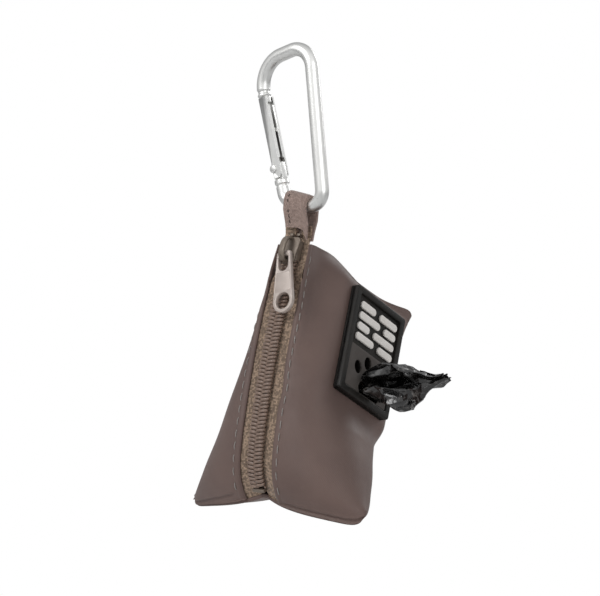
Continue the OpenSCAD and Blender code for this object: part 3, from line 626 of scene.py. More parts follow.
def plate_share(y, z, reach):
    """1 over the outlet plate, fading to 0 at that many millimetres past its edges."""
    return (1 - step(plate_w / 2 + 1, plate_w / 2 + reach, np.abs(y))) \
        * (1 - step(plate_h / 2, plate_h / 2 + reach, np.abs(z - plate_z)))


def arc_y(z):
    """Depth of the zip's arc at height z."""
    return zip_c[0] - np.sqrt(zip_r**2 - (z - zip_c[1]) ** 2)


def seam_z(x):
    """Height of the bottom seam: rise (1 - u)^4 + lift u^24 with u = |2x / w|, a peak under the zip."""
    u = np.minimum(np.abs(2 * x / pouch_w), 1)
    return seam_rise * (1 - u) ** seam_peak + corner_lift * u**24


def front_y(v):
    """Depth of the front line: the arc, pulled back to the bottom seam at its foot."""
    k = 1 - power(1 - v, keel)
    sag = top_sag * (1 - (2 * arc_y(pouch_h * v) / pouch_w) ** 2) * v**3
    z = pouch_h * v + seam_rise * power(1 - v, 3) - sag
    return -seam_bow * (1 - k) + arc_y(z) * k + seam_bow * power(1 - v, 3)


def section(v, turn, off):
    """Point of the cloth at height share v, turn degrees round from the front, off mm inside its face.
    A superellipse of power 2.2 and half width w/2 (1-v)^0.95 + 2.2 (1-v)^6, less a little at the lower
    right corner. It has a straight strip across the zip's window and a flat where the plate lies."""
    right, a0 = turn <= 180, np.where(turn <= 180, turn, 360 - turn)
    corner = np.where(right, 1 - 1.4 * power(1 - v, 40), 1)
    half_width = pouch_w / 2 * power(1 - v, side_curve) + foot * power(1 - v, 6) * corner
    a = np.maximum(half_width, fabric_t + 0.2) - off
    back_edge = pouch_w / 2 * power(v, back_curve) * (1 - power(1 - v, heel_in))
    mid = (back_edge + front_y(v)) / 2 * step(0, 0.12, v)
    fore, aft = [np.maximum(d, fabric_t + 0.15) - off for d in (mid - front_y(v), back_edge - mid)]
    w = step(0.68, 0.84, v)
    strip = window_half - step(0.8, 1, v) - (0.6 + 0.4 * w) * off
    q = np.radians(np.maximum(a0 - strip_turn, 0) / (90 - strip_turn) * 90)
    out = (1 - w) * power(np.sin(q), roundness) + w * (1 - power(np.cos(q), roundness))
    front = a0 < 90
    angle = np.radians(a0)
    xa = np.where(front, strip * np.minimum(a0 / strip_turn, 1) + (a - strip) * out,
                  a * power(np.sin(angle), roundness))
    y0 = np.where(front, mid - fore * power(np.cos(q), roundness),
                  mid + aft * power(-np.cos(angle), roundness))
    x0 = np.where(right, xa, -xa)
    hump = 1 - (2 * x0 / pouch_w) ** 2
    rise = power(1 - v, 3)
    y = y0 - seam_bow * hump * rise
    back_u = np.minimum(2 * y / pouch_w, 1)
    z = pouch_h * v + seam_z(x0) * rise + off * power(1 - v, 10) \
        - top_sag * (1 - np.minimum(np.abs(2 * y / pouch_w), 1) ** 2) * v**3 \
        + corner_up * power(back_u, 3) * (1 - 0.85 * power(back_u, 16)) * v**3
    flat = plate_share(y, z, 13) * step(0, 6, x0)
    return np.stack([x0 + flat * (plate_x - off - math.tan(plate_tilt) * (z - plate_z) - x0), y, z], -1)


def outward(points, right_way):
    """Unit normals of a grid of points, from the cross product of its two directions."""
    n = np.cross(np.gradient(points, axis=0), np.gradient(points, axis=1))
    return right_way * n / np.maximum(np.linalg.norm(n, axis=-1, keepdims=True), 1e-9)


print("front line at half height:", section(np.array(0.5), np.array(0.0), 0).round(2))

# %% Creases and dents
def dents(x, y, z):
    """Height in mm that is added to the cloth at a point, made of soft waves, hollows and creases."""
    swell = 0.28 * np.sin(0.11 * x + 0.07 * z + 1.3) * np.sin(0.09 * y - 0.05 * z)
    ripple = 0.07 * np.sin(0.33 * z + 0.12 * y + 0.8 * np.sin(0.11 * x)) * step(4, 20, np.abs(x))

    def hollow(cx, cy, cz, size, depth):
        return -depth * np.exp(-((x - cx) ** 2 + (y - cy) ** 2 + (z - cz) ** 2) / size**2)

    lower = hollow(27, -8, 26, 12, 0.2) + hollow(37, 6, 24, 15, -1.1)
    left = hollow(-24, -4, 30, 11, 0.8) + hollow(-14, 26, 62, 14, 1.0)
    sides = hollow(14, 24, 40, 12, 0.8) + hollow(-20, 12, 74, 10, 0.6) + hollow(20, -24, 44, 9, 0.3)
    return swell + ripple + (lower + left) + sides


def crease(distance, width, depth):
    """A valley of that depth where distance is 0, with a soft shoulder on each side."""
    t = distance / width
    return -depth * np.exp(-(t**2)) + 0.45 * depth * np.exp(-((t - 1.7) ** 2))


rows, outer_cols = 150, 190
v = (np.linspace(0, 1, rows) ** 1.35)[:, None]
s = np.linspace(-1, 1, outer_cols)
turns = (180 + np.sign(s) * (180 - strip_turn) * (1 - (1 - np.abs(s)) ** 1.25))[None, :]
low = 1 - fold_drop * (1 - step(strip_turn, 75, np.minimum(turns, 360 - turns)))
height, turns = v * low, np.broadcast_to(turns, (rows, outer_cols))
outer = section(height, turns, 0.0)
inner = section(height, turns, fabric_t)
way = -1 if np.sum((outer - inner) * outward(outer, 1)) < 0 else 1
normal = outward(outer, way)
fold = section(height, np.where(turns < 180, strip_turn, 360 - strip_turn), 0.0)
fold_gap = np.linalg.norm(outer - fold, axis=-1)
x, y, z = outer[..., 0], outer[..., 1], outer[..., 2]
above_seam = z - seam_z(x)
on_front = np.minimum(turns, 360 - turns) < 90
plate_near = plate_share(y, z, 8) * step(0, 6, x)
zip_side = step(1.0, 7.0, fold_gap)
seam_fade = step(0, 5, above_seam) * step(0, 3, pouch_h - z)
lift = dents(x, y, z) * (1 - plate_near) * zip_side * seam_fade
fold_puff = 0.20 * np.exp(-(((fold_gap - 1.0) / 0.7) ** 2))
stitch_line = 0.16 * np.exp(-(((fold_gap - 2.1) / 0.35) ** 2))
lift += np.where(on_front & (fold_gap < 5), fold_puff - stitch_line, 0)
bottom_band = np.where(x < 0, 0.7 + 0.045 * (x + pouch_w / 2), 1.1)
seam_line = crease(above_seam - bottom_band, 0.42, 0.6)
lift += seam_line * step(2.5, 5.5, fold_gap) * step(0.1, 0.8, above_seam) * on_front
lift += crease(pouch_h - top_sag - z + 1.2, 0.9, 0.25) * step(6, 14, fold_gap)
outer = outer + normal * lift[..., None]
inner = inner + normal * lift[..., None] * 0.9
print("cloth rises by", lift.min().round(2), "to", lift.max().round(2), "mm")

# %% The folded edges and the finished cloth
def fold_columns(side):
    """The fold's rounded edge, from the outer face to the inner: half an oval, seven columns of it."""
    edge = 0 if side < 0 else -1
    a, b = outer[:, edge], inner[:, edge]
    middle, half = (a + b) / 2, (a - b) / 2
    towards = unit(outer[:, edge] - outer[:, 1 if side < 0 else -2])
    t = np.linspace(0, np.pi, 9)[None, 1:-1, None]
    return middle[:, None] + half[:, None] * np.cos(t) + 0.5 * towards[:, None] * np.sin(t)


rings = np.concatenate([outer, fold_columns(1), inner[:, ::-1], fold_columns(-1)[:, ::-1]], 1)
around = rings.shape[1]
faces = ring_faces(rows, around)
i = np.arange(outer_cols - 1)
far = 2 * outer_cols + 7 - 1 - i
low_rim = np.stack([i, far, far - 1, i + 1], -1)
fold_ring = [list(range(outer_cols - 1, outer_cols + 8)),
             [around - 7 + k for k in range(7)] + [0, outer_cols * 2 + 6]]
faces += low_rim.tolist() + (low_rim[:, ::-1] + (rows - 1) * around).tolist()
faces += fold_ring + [[c + (rows - 1) * around for c in ring[::-1]] for ring in fold_ring]
paw_at = np.array([1.8, -12.6])  # the paw's middle, across and up on the plate


def in_outlet(points):
    """True where the cloth is cut away behind the paw: an oval in the plate's own plane."""
    c, s = math.cos(plate_tilt), math.sin(plate_tilt)
    across, up = points[..., 1], (points[..., 2] - plate_z) * c - (points[..., 0] - plate_x) * s
    inside = ((across - paw_at[0]) / 13) ** 2 + ((up - paw_at[1] - 0.8) / 8.2) ** 2 < 1
    return inside & (points[..., 0] > 8)


middles = rings.reshape(-1, 3)[np.array([f[:4] for f in faces])].mean(1)
cut = in_outlet(middles)
kept = [f for f, gone in zip(faces, cut) if not gone]
cloth_mesh = bpy.data.meshes.new("pouch_cloth")
cloth_mesh.from_pydata((pouch(rings.reshape(-1, 3)) * 0.001).tolist(), [], kept)
work = bmesh.new()
work.from_mesh(cloth_mesh)
loose = [vert for vert in work.verts if not vert.link_faces]
bmesh.ops.delete(work, geom=loose, context="VERTS")
rim = [e for e in work.edges if e.is_boundary]
bmesh.ops.bridge_loops(work, edges=rim)
work.to_mesh(cloth_mesh)
work.free()
dress("pouch_cloth", cloth_mesh, cloth, "pouch", ["pouch_shell"], 70)
print("cells cut away for the outlet:", int(cut.sum()), "rim edges:", len(rim))

# %% [markdown]
# ## Bindings, zip tapes and coils
#
# A coil zip is a nylon thread wound into a flat spiral and sewn to a woven tape, one on each side,
# half a turn apart so that they hook into each other. A painted pattern could fake it, but the side
# view would show it, so each coil is a true helix: an oval turned along the zip's arc.

# %% Tapes
tape_t, tape_gap, tape_end = 0.6, 0.2, 3.0
tape_out = fabric_t + tape_gap


def tape_grid(side, off, rows=130, cols=14):
    """Tape face: height share v by column, from beside the coil to its edge under the cloth."""
    v = np.linspace(0, 1, rows)[:, None] ** 1.25 * 0.992
    share = np.linspace(0, 1, cols)[None, :]
    inner_turn = strip_turn * 1.7 / (window_half - 0.6 * off)
    edge_turn = strip_turn * (0.9 + 0.1 * step(0.84, 0.9, v)) \
        + (strip_turn * 0.1 + 6.4) * (1 - step(0.68, 0.84, v))
    turn = inner_turn + (edge_turn - inner_turn) * share
    v = np.broadcast_to(v, turn.shape)
    grid = section(v, turn if side > 0 else 360 - turn, off)
    straight_up = np.array([0, -math.sin(lean), math.cos(lean)])
    more = grid[-1:] + np.linspace(0.5, tape_end, 6)[:, None, None] * straight_up
    return np.concatenate([grid, more])


for side, name in ((-1, "left"), (1, "right")):
    face, under = tape_grid(side, tape_out), tape_grid(side, tape_out + tape_t)
    run = np.cumsum(np.linalg.norm(np.diff(face[:, :1], axis=0, prepend=face[:1, :1]), axis=-1), axis=0)
    uv = np.stack([face[..., 0], np.broadcast_to(run, face.shape[:2])], -1)
    points, faces = slab(face, under)
    add_piece(f"tape_{name}", pouch(points), faces, tape_weave, "pouch", both(uv),
              [f"zip_tape_{name}"])

# %% Coils
def front_line(v):
    """The middle of the zip at height share v: its (y, z), the unit normal out of the pouch and the
    unit direction up the zip."""
    p = section(v, np.full_like(v, strip_turn * 2 / window_half), 0.0)[..., 1:]
    d = unit(np.gradient(p, axis=0))
    return p, np.stack([-d[..., 1], d[..., 0]], -1), d


def coil(side, low=0.032, high=0.943, pitch=1.45, wire=0.36, steps=14):
    """Helix on the zip's arc: across = 1.6 - 1.8 cos(a), out = 0.27 + 0.82 sin(a), a = 2 pi run / pitch,
    with cos(a) and sin(a) flattened by signed powers, and half a turn later on the right."""
    v = np.linspace(low, high, 4000)
    p, n, d = front_line(v)
    run = np.concatenate([[0], np.cumsum(np.linalg.norm(np.diff(p, axis=0), axis=-1))])
    count = int(run[-1] / pitch * steps)
    where = np.linspace(0, run[-1], count)
    p, n, d = [np.column_stack([np.interp(where, run, q[:, k]) for k in (0, 1)]) for q in (p, n, d)]
    a = 2 * np.pi * where / pitch + (np.pi if side > 0 else 0)
    across, out = 1.6 - 1.8 * signed(np.cos(a), 0.8), 0.27 + 0.82 * signed(np.sin(a), 0.9)
    line = np.column_stack([side * across, p + n * out[:, None]])
    tangent = unit(np.gradient(line, axis=0))
    along = np.column_stack([np.zeros(count), d])
    one = unit(along - tangent * np.sum(along * tangent, -1, keepdims=True))
    two = np.cross(tangent, one)
    t = np.linspace(0, 2 * np.pi, 6, endpoint=False)[None, :, None]
    return tube(line[:, None] + wire * (one[:, None] * np.cos(t) * 1.6 + two[:, None] * np.sin(t)))


for side, name in ((-1, "left"), (1, "right")):
    points, faces = coil(side)
    add_piece(f"coil_{name}", pouch(points), faces, nylon, "pouch", None, [f"zip_coil_{name}"], 80)

# %% Bindings inside the seams
def binding(line, half, low, high, thick_axis):
    """A folded tape along a line: its faces stand off by half its thickness, from low to high."""
    rise = np.linspace(low, high, 8)[:, None, None] * np.array([0, 0, 1.0])
    shift = np.array(thick_axis) * half
    return line[None] + rise + shift, line[None] + rise - shift


strips, uvs = [], []
for side in (-1, 1):
    x = side * np.linspace(13.9, 35.7, 40)
    line = np.stack([x, -seam_bow * (1 - (2 * x / pouch_w) ** 2), seam_z(x)], -1)
    strips.append(slab(*binding(line, 0.1, 1.6, 7.0, [0, 1, 0])))
    uvs.append(both(np.stack(np.broadcast_arrays(x[None], np.linspace(0, 5.4, 8)[:, None]), -1)))
points, faces = join_shapes(strips)
add_piece("binding_bottom", pouch(points), faces, binding_weave, "pouch", np.concatenate(uvs),
          ["bottom_seam_binding"])
y = np.linspace(-20, 35.2, 80)
line = np.stack([0 * y, y, pouch_h - top_sag * (1 - (2 * y / pouch_w) ** 2)], -1)
face, under = binding(line, 0.1, -6.0, -0.6, [1, 0, 0])
uv = np.stack(np.broadcast_arrays(y[None], np.linspace(0, 5.4, 8)[:, None]), -1)
points, faces = slab(face, under)
add_piece("binding_top", pouch(points), faces, binding_weave, "pouch", both(uv),
          ["top_seam_binding"])

# %% [markdown]
# ## Thread
#
# Each stitch is a short piece of two-ply thread that dips into the cloth at both ends. One stitch is
# worked out once, as a twisted capsule, and numpy copies it to every place along the seam at once.

# %% Stitches
def stitches(starts, ends, ups, radius=0.19, around=8, along=11):
    """Capsules from starts to ends. Height above the cloth follows sin(pi s), and the two plies turn
    one and a half times: r = radius (1 + 0.16 cos(2 (t - 3 pi s)))."""
    s = np.linspace(0, 1, along)
    t = np.linspace(0, 2 * np.pi, around, endpoint=False)
    axis = ends - starts
    side = unit(np.cross(unit(axis), ups))
    top = np.cross(side, unit(axis))
    hump = (0.28 * np.sin(np.pi * s) - 0.12)[None, :, None]
    centre = starts[:, None] + axis[:, None] * s[None, :, None] + top[:, None] * hump
    taper = np.sqrt(np.clip(1 - np.abs(2 * s - 1) ** 6, 0.05, 1))
    r = radius * taper[:, None] * (1 + 0.16 * np.cos(2 * (t[None] - 3 * np.pi * s[:, None])))
    rings = centre[:, :, None] + r[None, :, :, None] * (side[:, None, None] * np.cos(t)[None, None, :, None]
                                                      + top[:, None, None] * np.sin(t)[None, None, :, None])
    length = (s * np.linalg.norm(axis[0]))[:, None]
    uv = np.stack(np.broadcast_arrays(t[None, :] * radius, length), -1).reshape(-1, 2)
    shapes = [tube(ring) for ring in rings]
    return *join_shapes(shapes), np.tile(np.concatenate([uv, uv[:2]]), (len(rings), 1))


stitch_l, stitch_step, stitch_count, stitch_in = 3.2, 4.6, 20, 2.0
for side, name in ((-1, "left"), (1, "right")):
    v = 0.032 + np.arange(stitch_count) * stitch_step / pouch_h
    fine = np.linspace(strip_turn, strip_turn + 30, 1200)
    grid = section(*np.broadcast_arrays(v[:, None], fine[None]), 0.0)
    gap = np.linalg.norm(grid - grid[:, :1], axis=-1)
    turn = fine[np.argmax(gap > stitch_in, axis=1)]
    turn = turn if side > 0 else 360 - turn
    face, under = section(v, turn, 0.0), section(v, turn, fabric_t)
    up = unit(pouch(face) - pouch(under))
    run = unit(section(v + 0.005, turn, 0.0) - face)
    start, end = pouch(face), pouch(face + run * stitch_l)
    points, faces, uv = stitches(start + up * 0.02, end + up * 0.02, up)
    add_piece(f"topstitches_{name}", points, faces, pale_thread, "pouch", uv,
              [f"topstitch_{name}"], 80)

# %% [markdown]
# ## Slider, pull tab and stops
#
# The slider is a small casting: two decks joined by a post, with side walls that steer the coils and
# a bridge over the top that holds the tab. Its parts are plates with rounded edges. The tab is a
# flat casting with a raised rim, so it is a thick plate with three openings and a thin web in one.

# %% Slider
slider_z, slider_l = 93.8, 10.6
coil_top, plate_gap, deck_t = 1.3, 0.2, 0.9
wall_x, wall_half = 3.75, 0.45
top_deck = coil_top + plate_gap
low_deck = -(tape_out + tape_t + plate_gap + 0.15)
outline = hull_of([(-3.1, slider_l / 2 - 1.6, 1.6), (3.1, slider_l / 2 - 1.6, 1.6),
                   (-2.7, -slider_l / 2 + 1.2, 1.2), (2.7, -slider_l / 2 + 1.2, 1.2)])
shapes = [cut_plate([outline], deck_t / 2, 0.28, top_deck + deck_t / 2),
          cut_plate([outline], deck_t / 2, 0.28, low_deck - deck_t / 2),
          box_shape((-0.45, 0.8, low_deck - 0.1), (0.45, 3.8, top_deck + 0.1))]
for side in (-1, 1):
    shapes.append(box_shape((side * wall_x - wall_half, -slider_l / 2 + 1.4, -tape_out + 0.35),
                            (side * wall_x + wall_half, slider_l / 2 - 1.4, top_deck + 0.05)))
print("slider decks at", round(top_deck, 2), "and", round(low_deck, 2), "mm")


def bridge():
    """Arch over the deck, halfway between an oval and a box: y = A c, z = B s, with c and s the signed
    0.8 powers of cosine and sine. A runs from 4.4 to 5.2 and B from 3.1 to 4.1 across its band."""
    a = np.radians(np.linspace(0, 180, 72))[:, None]
    t = np.linspace(0, 2 * np.pi, 24, endpoint=False)[None]
    out = signed(np.sin(t), 0.5)
    y = (4.8 + 0.4 * out) * signed(np.cos(a), 0.8)
    z = (3.6 + 0.5 * out) * signed(np.sin(a), 0.8)
    x = 1.35 * signed(np.cos(t), 0.5)
    return tube(np.stack(np.broadcast_arrays(x, y, z + top_deck + deck_t - 0.05), -1))


points, faces = join_shapes(shapes + [bridge()])
add_piece("slider", on_zip(points, slider_z), faces, slider_paint, "slider", None,
          ["slider_body"], 50)

# %% Pull tab
tab_l, tab_t, tab_hole_r, tab_hole_y = 24.6, 1.7, 3.2, -19.0
tab_pivot = [-2.2, top_deck + deck_t + 1.35]
rim = hull_of([(-2.15, -0.15, 1.1), (2.15, -0.15, 1.1), (0, -tab_l + 0.95 + 4.7, 4.7)], 64)
slot = hull_of([(-1.45, -1.85, 0.9), (1.45, -1.85, 0.9), (0, -4.7, 2.3)], 40)
hole = circle(0, tab_hole_y, tab_hole_r, 64)
field = hull_of([(-2.5, -8.3, 0.5), (2.5, -8.3, 0.5), (3.15, -14.6, 0.5), (-3.15, -14.6, 0.5)], 16)
thick = cut_plate([rim, slot, hole, field], tab_t / 2, 0.32)
web_rim = hull_of([(-2.7, -8.1, 0.5), (2.7, -8.1, 0.5), (3.35, -14.8, 0.5), (-3.35, -14.8, 0.5)], 16)
points, faces = join_shapes([thick, cut_plate([web_rim], 0.72, 0.05)])


def on_pull(p):
    """Local points of the tab: turned 13.5 degrees in its plane, dropped 4 degrees, hung in the bridge."""
    yaw, drop = math.radians(13.5), math.radians(4)
    x = p[:, 0] * math.cos(yaw) - p[:, 1] * math.sin(yaw)
    y = p[:, 0] * math.sin(yaw) + p[:, 1] * math.cos(yaw)
    y, z = y * math.cos(drop) - p[:, 2] * math.sin(drop), y * math.sin(drop) + p[:, 2] * math.cos(drop)
    return on_zip(np.stack([x, y + tab_pivot[0], z + tab_pivot[1]], -1), slider_z)


add_piece("pull_tab_cast", on_pull(points), faces, enamel, "tab", None, ["pull_tab"], 50)

# %% Stops
shapes = []
for side in (-1, 1):
    shapes.append(box_shape((side * 1.7 - 0.8, -0.6, -0.9), (side * 1.7 + 0.8, 0.6, 1.0), 0.25))
points, faces = join_shapes(shapes)
add_piece("stops_top", on_zip(points, zip_top[1] + 4.6), faces, slider_paint, "pouch", None,
          ["zip_top_stops"], 50)
stop_v = np.array([0.022, 0.024, 0.026])
p, n, d = front_line(stop_v)
points, faces = box_shape((-3, -1.0, -0.85), (3, 0.4, 1.15), 0.3)
placed = np.column_stack([points[:, 0], p[1] + points[:, 1:2] * d[1] + points[:, 2:3] * n[1]])
add_piece("stop_bottom", pouch(placed), faces, slider_paint, "pouch", None,
          ["zip_bottom_stop"], 50)

# %% [markdown]
# ## Outlet plate
#
# A soft moulding with a raised border, a dark grey panel in its lower part with a paw-shaped opening,
# and raised pale bars above it. Each level is cut from its outline with rounded edges, which catch a
# thin line of light as soft rubber does.

# %% Plate, panel and bars
border, recess, field_split = 2.7, 1.2, -1.4
bar_h, bar_pitch, field_half = 2.9, 4.3, 12
floor_t = plate_t - recess


def paw(grow):
    """Four oval toes and a pad that is narrower at its top: x = a cos t (1 - 0.22 sin t), y = b sin t."""
    toes = [circle(paw_at[0] + x, paw_at[1] + y, 2.15 + grow, 28, (2.6 + grow) / (2.15 + grow), turned)
            for x, y, turned in ((-9.0, 3.4, 20), (-3.5, 6.9, 6), (3.5, 6.9, -6), (9.0, 3.4, -20))]
    t = np.linspace(0, 2 * np.pi, 48, endpoint=False)
    pad = np.column_stack([paw_at[0] + (6.6 + grow) * np.cos(t) * (1 - 0.22 * np.sin(t)),
                           paw_at[1] - 2.6 + (4.5 + grow) * np.sin(t)])
    return toes + [pad]


base = cut_plate([rounded(plate_w, plate_h, 1.2)] + paw(0.25), floor_t / 2, 0.3, floor_t / 2)
wall = cut_plate([rounded(plate_w, plate_h, 1.2), rounded(plate_w - 2 * border, plate_h - 2 * border, 0.9)],
                 (plate_t - 0.4) / 2, 0.55, (plate_t + 0.4) / 2)
points, faces = join_shapes([base, wall])
add_piece("plate_rubber", on_plate(points), faces, rubber, "pouch", None, ["outlet_plate"], 50)
panel_w, panel_h, panel_t = plate_w - 2 * border - 0.4, plate_h / 2 - border + field_split - 0.4, 0.7
panel_y = -plate_h / 2 + border + 0.2 + panel_h / 2
points, faces = cut_plate([rounded(panel_w, panel_h, 0.6, 0, panel_y)] + paw(0.0),
                          panel_t / 2, 0.18, floor_t + 0.02 + panel_t / 2)
add_piece("plate_panel", on_plate(points), faces, panel, "pouch", None, ["outlet_panel"], 50)
shapes = []
for row, (a, b) in enumerate(((11.5, 9.5), (7.5, 13.5), (13.5, 7.5), (9.5, 11.5))):
    up = field_split + 3.6 + row * bar_pitch
    for length, mid in ((a, -field_half + a / 2), (b, field_half - b / 2)):
        shapes.append(cut_plate([rounded(length, bar_h, 1.3, mid, up)], 0.45, 0.2, floor_t + 0.47))
points, faces = join_shapes(shapes)
add_piece("plate_bars", on_plate(points), faces, raised, "pouch", None, ["outlet_bars"], 50)

# %% [markdown]
# ## Bags: core, roll and the film that comes out
#
# The roll is many layers, so its ends show a fine spiral and its side a loose last edge. The end of
# the next bag is thin film that was pulled through the paw and crushed by the hand. Film hardly
# stretches, so it shows sharp ridges between flat facets: seeded random heights on a lattice, joined
# by flat triangles at two sizes.

# %% Core and roll
roll_d, roll_l, core_r = 23.6, 56.0, 7.5
roll_foot, layer_t = np.array([1.4, -2.5, 14]), 0.35


def in_roll(p):
    """Roll coordinates, z along its axis, to the frame: leaned 14 degrees, 14 mm above the seam."""
    c, s = math.cos(math.radians(14)), math.sin(math.radians(14))
    leaned = np.stack([p[..., 0], p[..., 1] * c - p[..., 2] * s, p[..., 1] * s + p[..., 2] * c], -1)
    return pouch(leaned + roll_foot)


def turned_ring(profile, around, wobble=None):
    """A profile of (radius, height), closed, turned about the axis; wobble adds to radius and height."""
    a = np.linspace(0, 2 * np.pi, around, endpoint=False)[None, :]
    r, h = [np.broadcast_to(profile[:, k : k + 1], (len(profile), around)) for k in (0, 1)]
    if wobble is not None:
        dr, dh = wobble(a, r, h)
        r, h = r + dr, h + dh
    grid = np.stack([r * np.cos(a), r * np.sin(a), h], -1)
    closed = np.concatenate([grid, grid[:1]])
    return closed.reshape(-1, 3), ring_faces(len(closed), around)


def winding(a, r, h):
    """Layers: a saw of 0.35 mm in radius that climbs one layer a turn, and a loose edge at angle 0."""
    layer = ((r - core_r) / layer_t + a / (2 * np.pi)) % 1.0
    end = (np.abs(h - roll_l / 2) > roll_l / 2 - 0.35) & (r < roll_d / 2 - 0.1)
    dh = np.where(end, np.sign(roll_l / 2 - h) * 0.22 * layer, 0)
    dr = np.where(r > roll_d / 2 - 0.2, -0.16 * (a / (2 * np.pi)) - 0.05 * np.sin(9 * a + 0.2 * h) ** 2, 0)
    return dr, dh


r_end = np.linspace(core_r + 0.08, roll_d / 2 - 0.15, 60)
side_h = np.linspace(0.15, roll_l - 0.15, 40)
profile = np.concatenate([np.column_stack([r_end, np.zeros(60)]),
                          np.column_stack([np.full(40, roll_d / 2), side_h]),
                          np.column_stack([r_end[::-1], np.full(60, roll_l)]),
                          np.column_stack([np.full(20, core_r + 0.08), np.linspace(roll_l - 0.5, 0.5, 20)])])
points, faces = turned_ring(profile, 160, winding)
add_piece("roll_film", in_roll(points), faces, film, "roll", None, ["bag_roll"], 40)
edge = np.radians(np.linspace(0, 180, 7))
lip = np.column_stack([core_r - 0.5 - 0.5 * np.cos(edge), roll_l - 1 + 0.25 * np.sin(edge)])
profile = np.concatenate([lip[::-1], np.column_stack([lip[:, 0], roll_l - lip[:, 1]])])
points, faces = turned_ring(profile, 96, lambda a, r, h: (0.04 * np.sin(2 * a + 0.5 * h), 0 * r))
add_piece("card_core", in_roll(points), faces, card, "roll", None, ["roll_core"], 50)

# %% Crushed film
chance = np.random.default_rng(11)
# Each oval station: distance from the plate, its middle across and up, its half axes, its turn in degrees
stations = np.array([[-1.0, 0, 0, 5.0, 3.2, 10], [3.7, 0, 0, 5.2, 3.3, 10], [4.3, -1.4, 0.6, 8.6, 5.2, 12],
                     [8, -1.6, 1.2, 9.8, 8.6, 10], [12, -0.6, 1.6, 9.2, 10.0, -4], [16, 0, 1.6, 8.0, 11.2, 4],
                     [20, 0.3, 1.0, 7.0, 10.8, 10], [25, 0.6, 0.4, 6.2, 9.4, -4], [30, 0.2, 0.6, 5.0, 7.0, 6],
                     [35, 0, 1.4, 3.4, 4.4, 0], [41, 0, 2.4, 1.2, 1.4, 0]])
film_w, film_folds, neck_len = 76, 2.0, 3.75
neck = paw_at + [0, -2.6]


def facets(u, n, size, depth):
    """Crumpled height: random values on a jittered lattice of that size, joined by flat triangles.
    In a cell with shares f, g and corner values: v00 + f (v10 - v00) + g (v11 - v10) where f > g."""
    u, n = u + 1.6 * np.sin(n / 5.1 + 0.9), n + 1.2 * np.sin(u / 4.3)
    i, j = np.floor(u / size).astype(int), np.floor(n / size).astype(int)
    f, g = u / size - i, n / size - j
    value = chance.uniform(-depth, depth, (i.max() - i.min() + 2, j.max() - j.min() + 2))
    i, j = i - i.min(), j - j.min()
    v00, v10, v01, v11 = value[i, j], value[i + 1, j], value[i, j + 1], value[i + 1, j + 1]
    return np.where(f > g, v00 + f * (v10 - v00) + g * (v11 - v10), v00 + g * (v01 - v00) + f * (v11 - v01))


def bag_end(across=260, along=170):
    """The film's end, gathered in the paw and bunched beyond it. At distance n from the plate its
    section zigzags inside an oval: up = b (2u - 1), across = a times a triangle wave of u. Large
    facets crumple it, and small ones break them up. Its end is ragged."""
    u = np.linspace(0, 1, across)[None, :]
    n = np.linspace(-1.0, 40.3, along)[:, None]
    cx, cy, a, b, turned = [np.interp(n[:, 0], stations[:, 0], stations[:, k])[:, None] for k in range(1, 6)]
    turned = np.radians(turned)
    u, n = np.broadcast_arrays(u, n)
    flat_u = u * film_w
    zig = np.abs(((u * film_folds + 0.10 * np.sin(n / 6 + 3 * u)) % 1) * 2 - 1) * 2 - 1
    side = (2 * u - 1) * (1 - 0.12 * np.abs(zig))
    loose = step(3.4, 7.0, n)
    crumple_x = facets(flat_u, n, 8.0, 2.4) + facets(flat_u, n, 4.4, 1.1)
    local_x = a * 0.74 * zig * (1 - 0.3 * side**2) + loose * crumple_x
    crumple_y = facets(flat_u, n, 7.5, 1.5) + facets(flat_u, n, 4.0, 0.8)
    local_y = b * 0.86 * side + loose * crumple_y
    crumple_out = facets(flat_u, n, 8.0, 1.3) + facets(flat_u, n, 3.0, 0.4)
    ragged = 6.0 * np.abs(side) ** 1.5 + facets(flat_u, n, 5.0, 1.6) + 1.0
    out = n + loose * crumple_out - step(16, 36, n) * ragged
    out = np.maximum(out, np.minimum(n, neck_len))
    x = cx + local_x * np.cos(turned) - local_y * np.sin(turned)
    y = cy + local_x * np.sin(turned) + local_y * np.cos(turned)
    return on_plate(np.stack([x + neck[0], y + neck[1], out], -1)), np.stack([flat_u, n], -1)


grid, uv = bag_end()
faces = (np.arange(grid.shape[0] - 1)[:, None] * grid.shape[1] + np.arange(grid.shape[1] - 1)[None]).ravel()
faces = np.stack([faces, faces + 1, faces + grid.shape[1] + 1, faces + grid.shape[1]], -1)
cells = np.cross(np.diff(grid, axis=0)[:, :-1], np.diff(grid, axis=1)[:-1])
tail = add_piece("bag_end", grid, faces, film, None, uv, ["bag_tail"], 28)
film_thickness = tail.modifiers.new("thickness", "SOLIDIFY")
film_thickness.thickness, film_thickness.offset = 0.00006, 0
# The film's root in the opening, 3 mm out from the plate, and a point on its neck 16 mm out, in metres.
root_end, neck_end = [(on_plate(np.array([*neck, n])) * 0.001).tolist() for n in (3.0, 16.0)]
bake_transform(tail)

# %% The film between the roll and the opening
def fan(x, y, z, a, b, t):
    """Oval ring inside the pouch, a along y and b along z."""
    return np.stack([x + 0 * t, y + a * np.cos(t), z + b * np.sin(t)], -1)


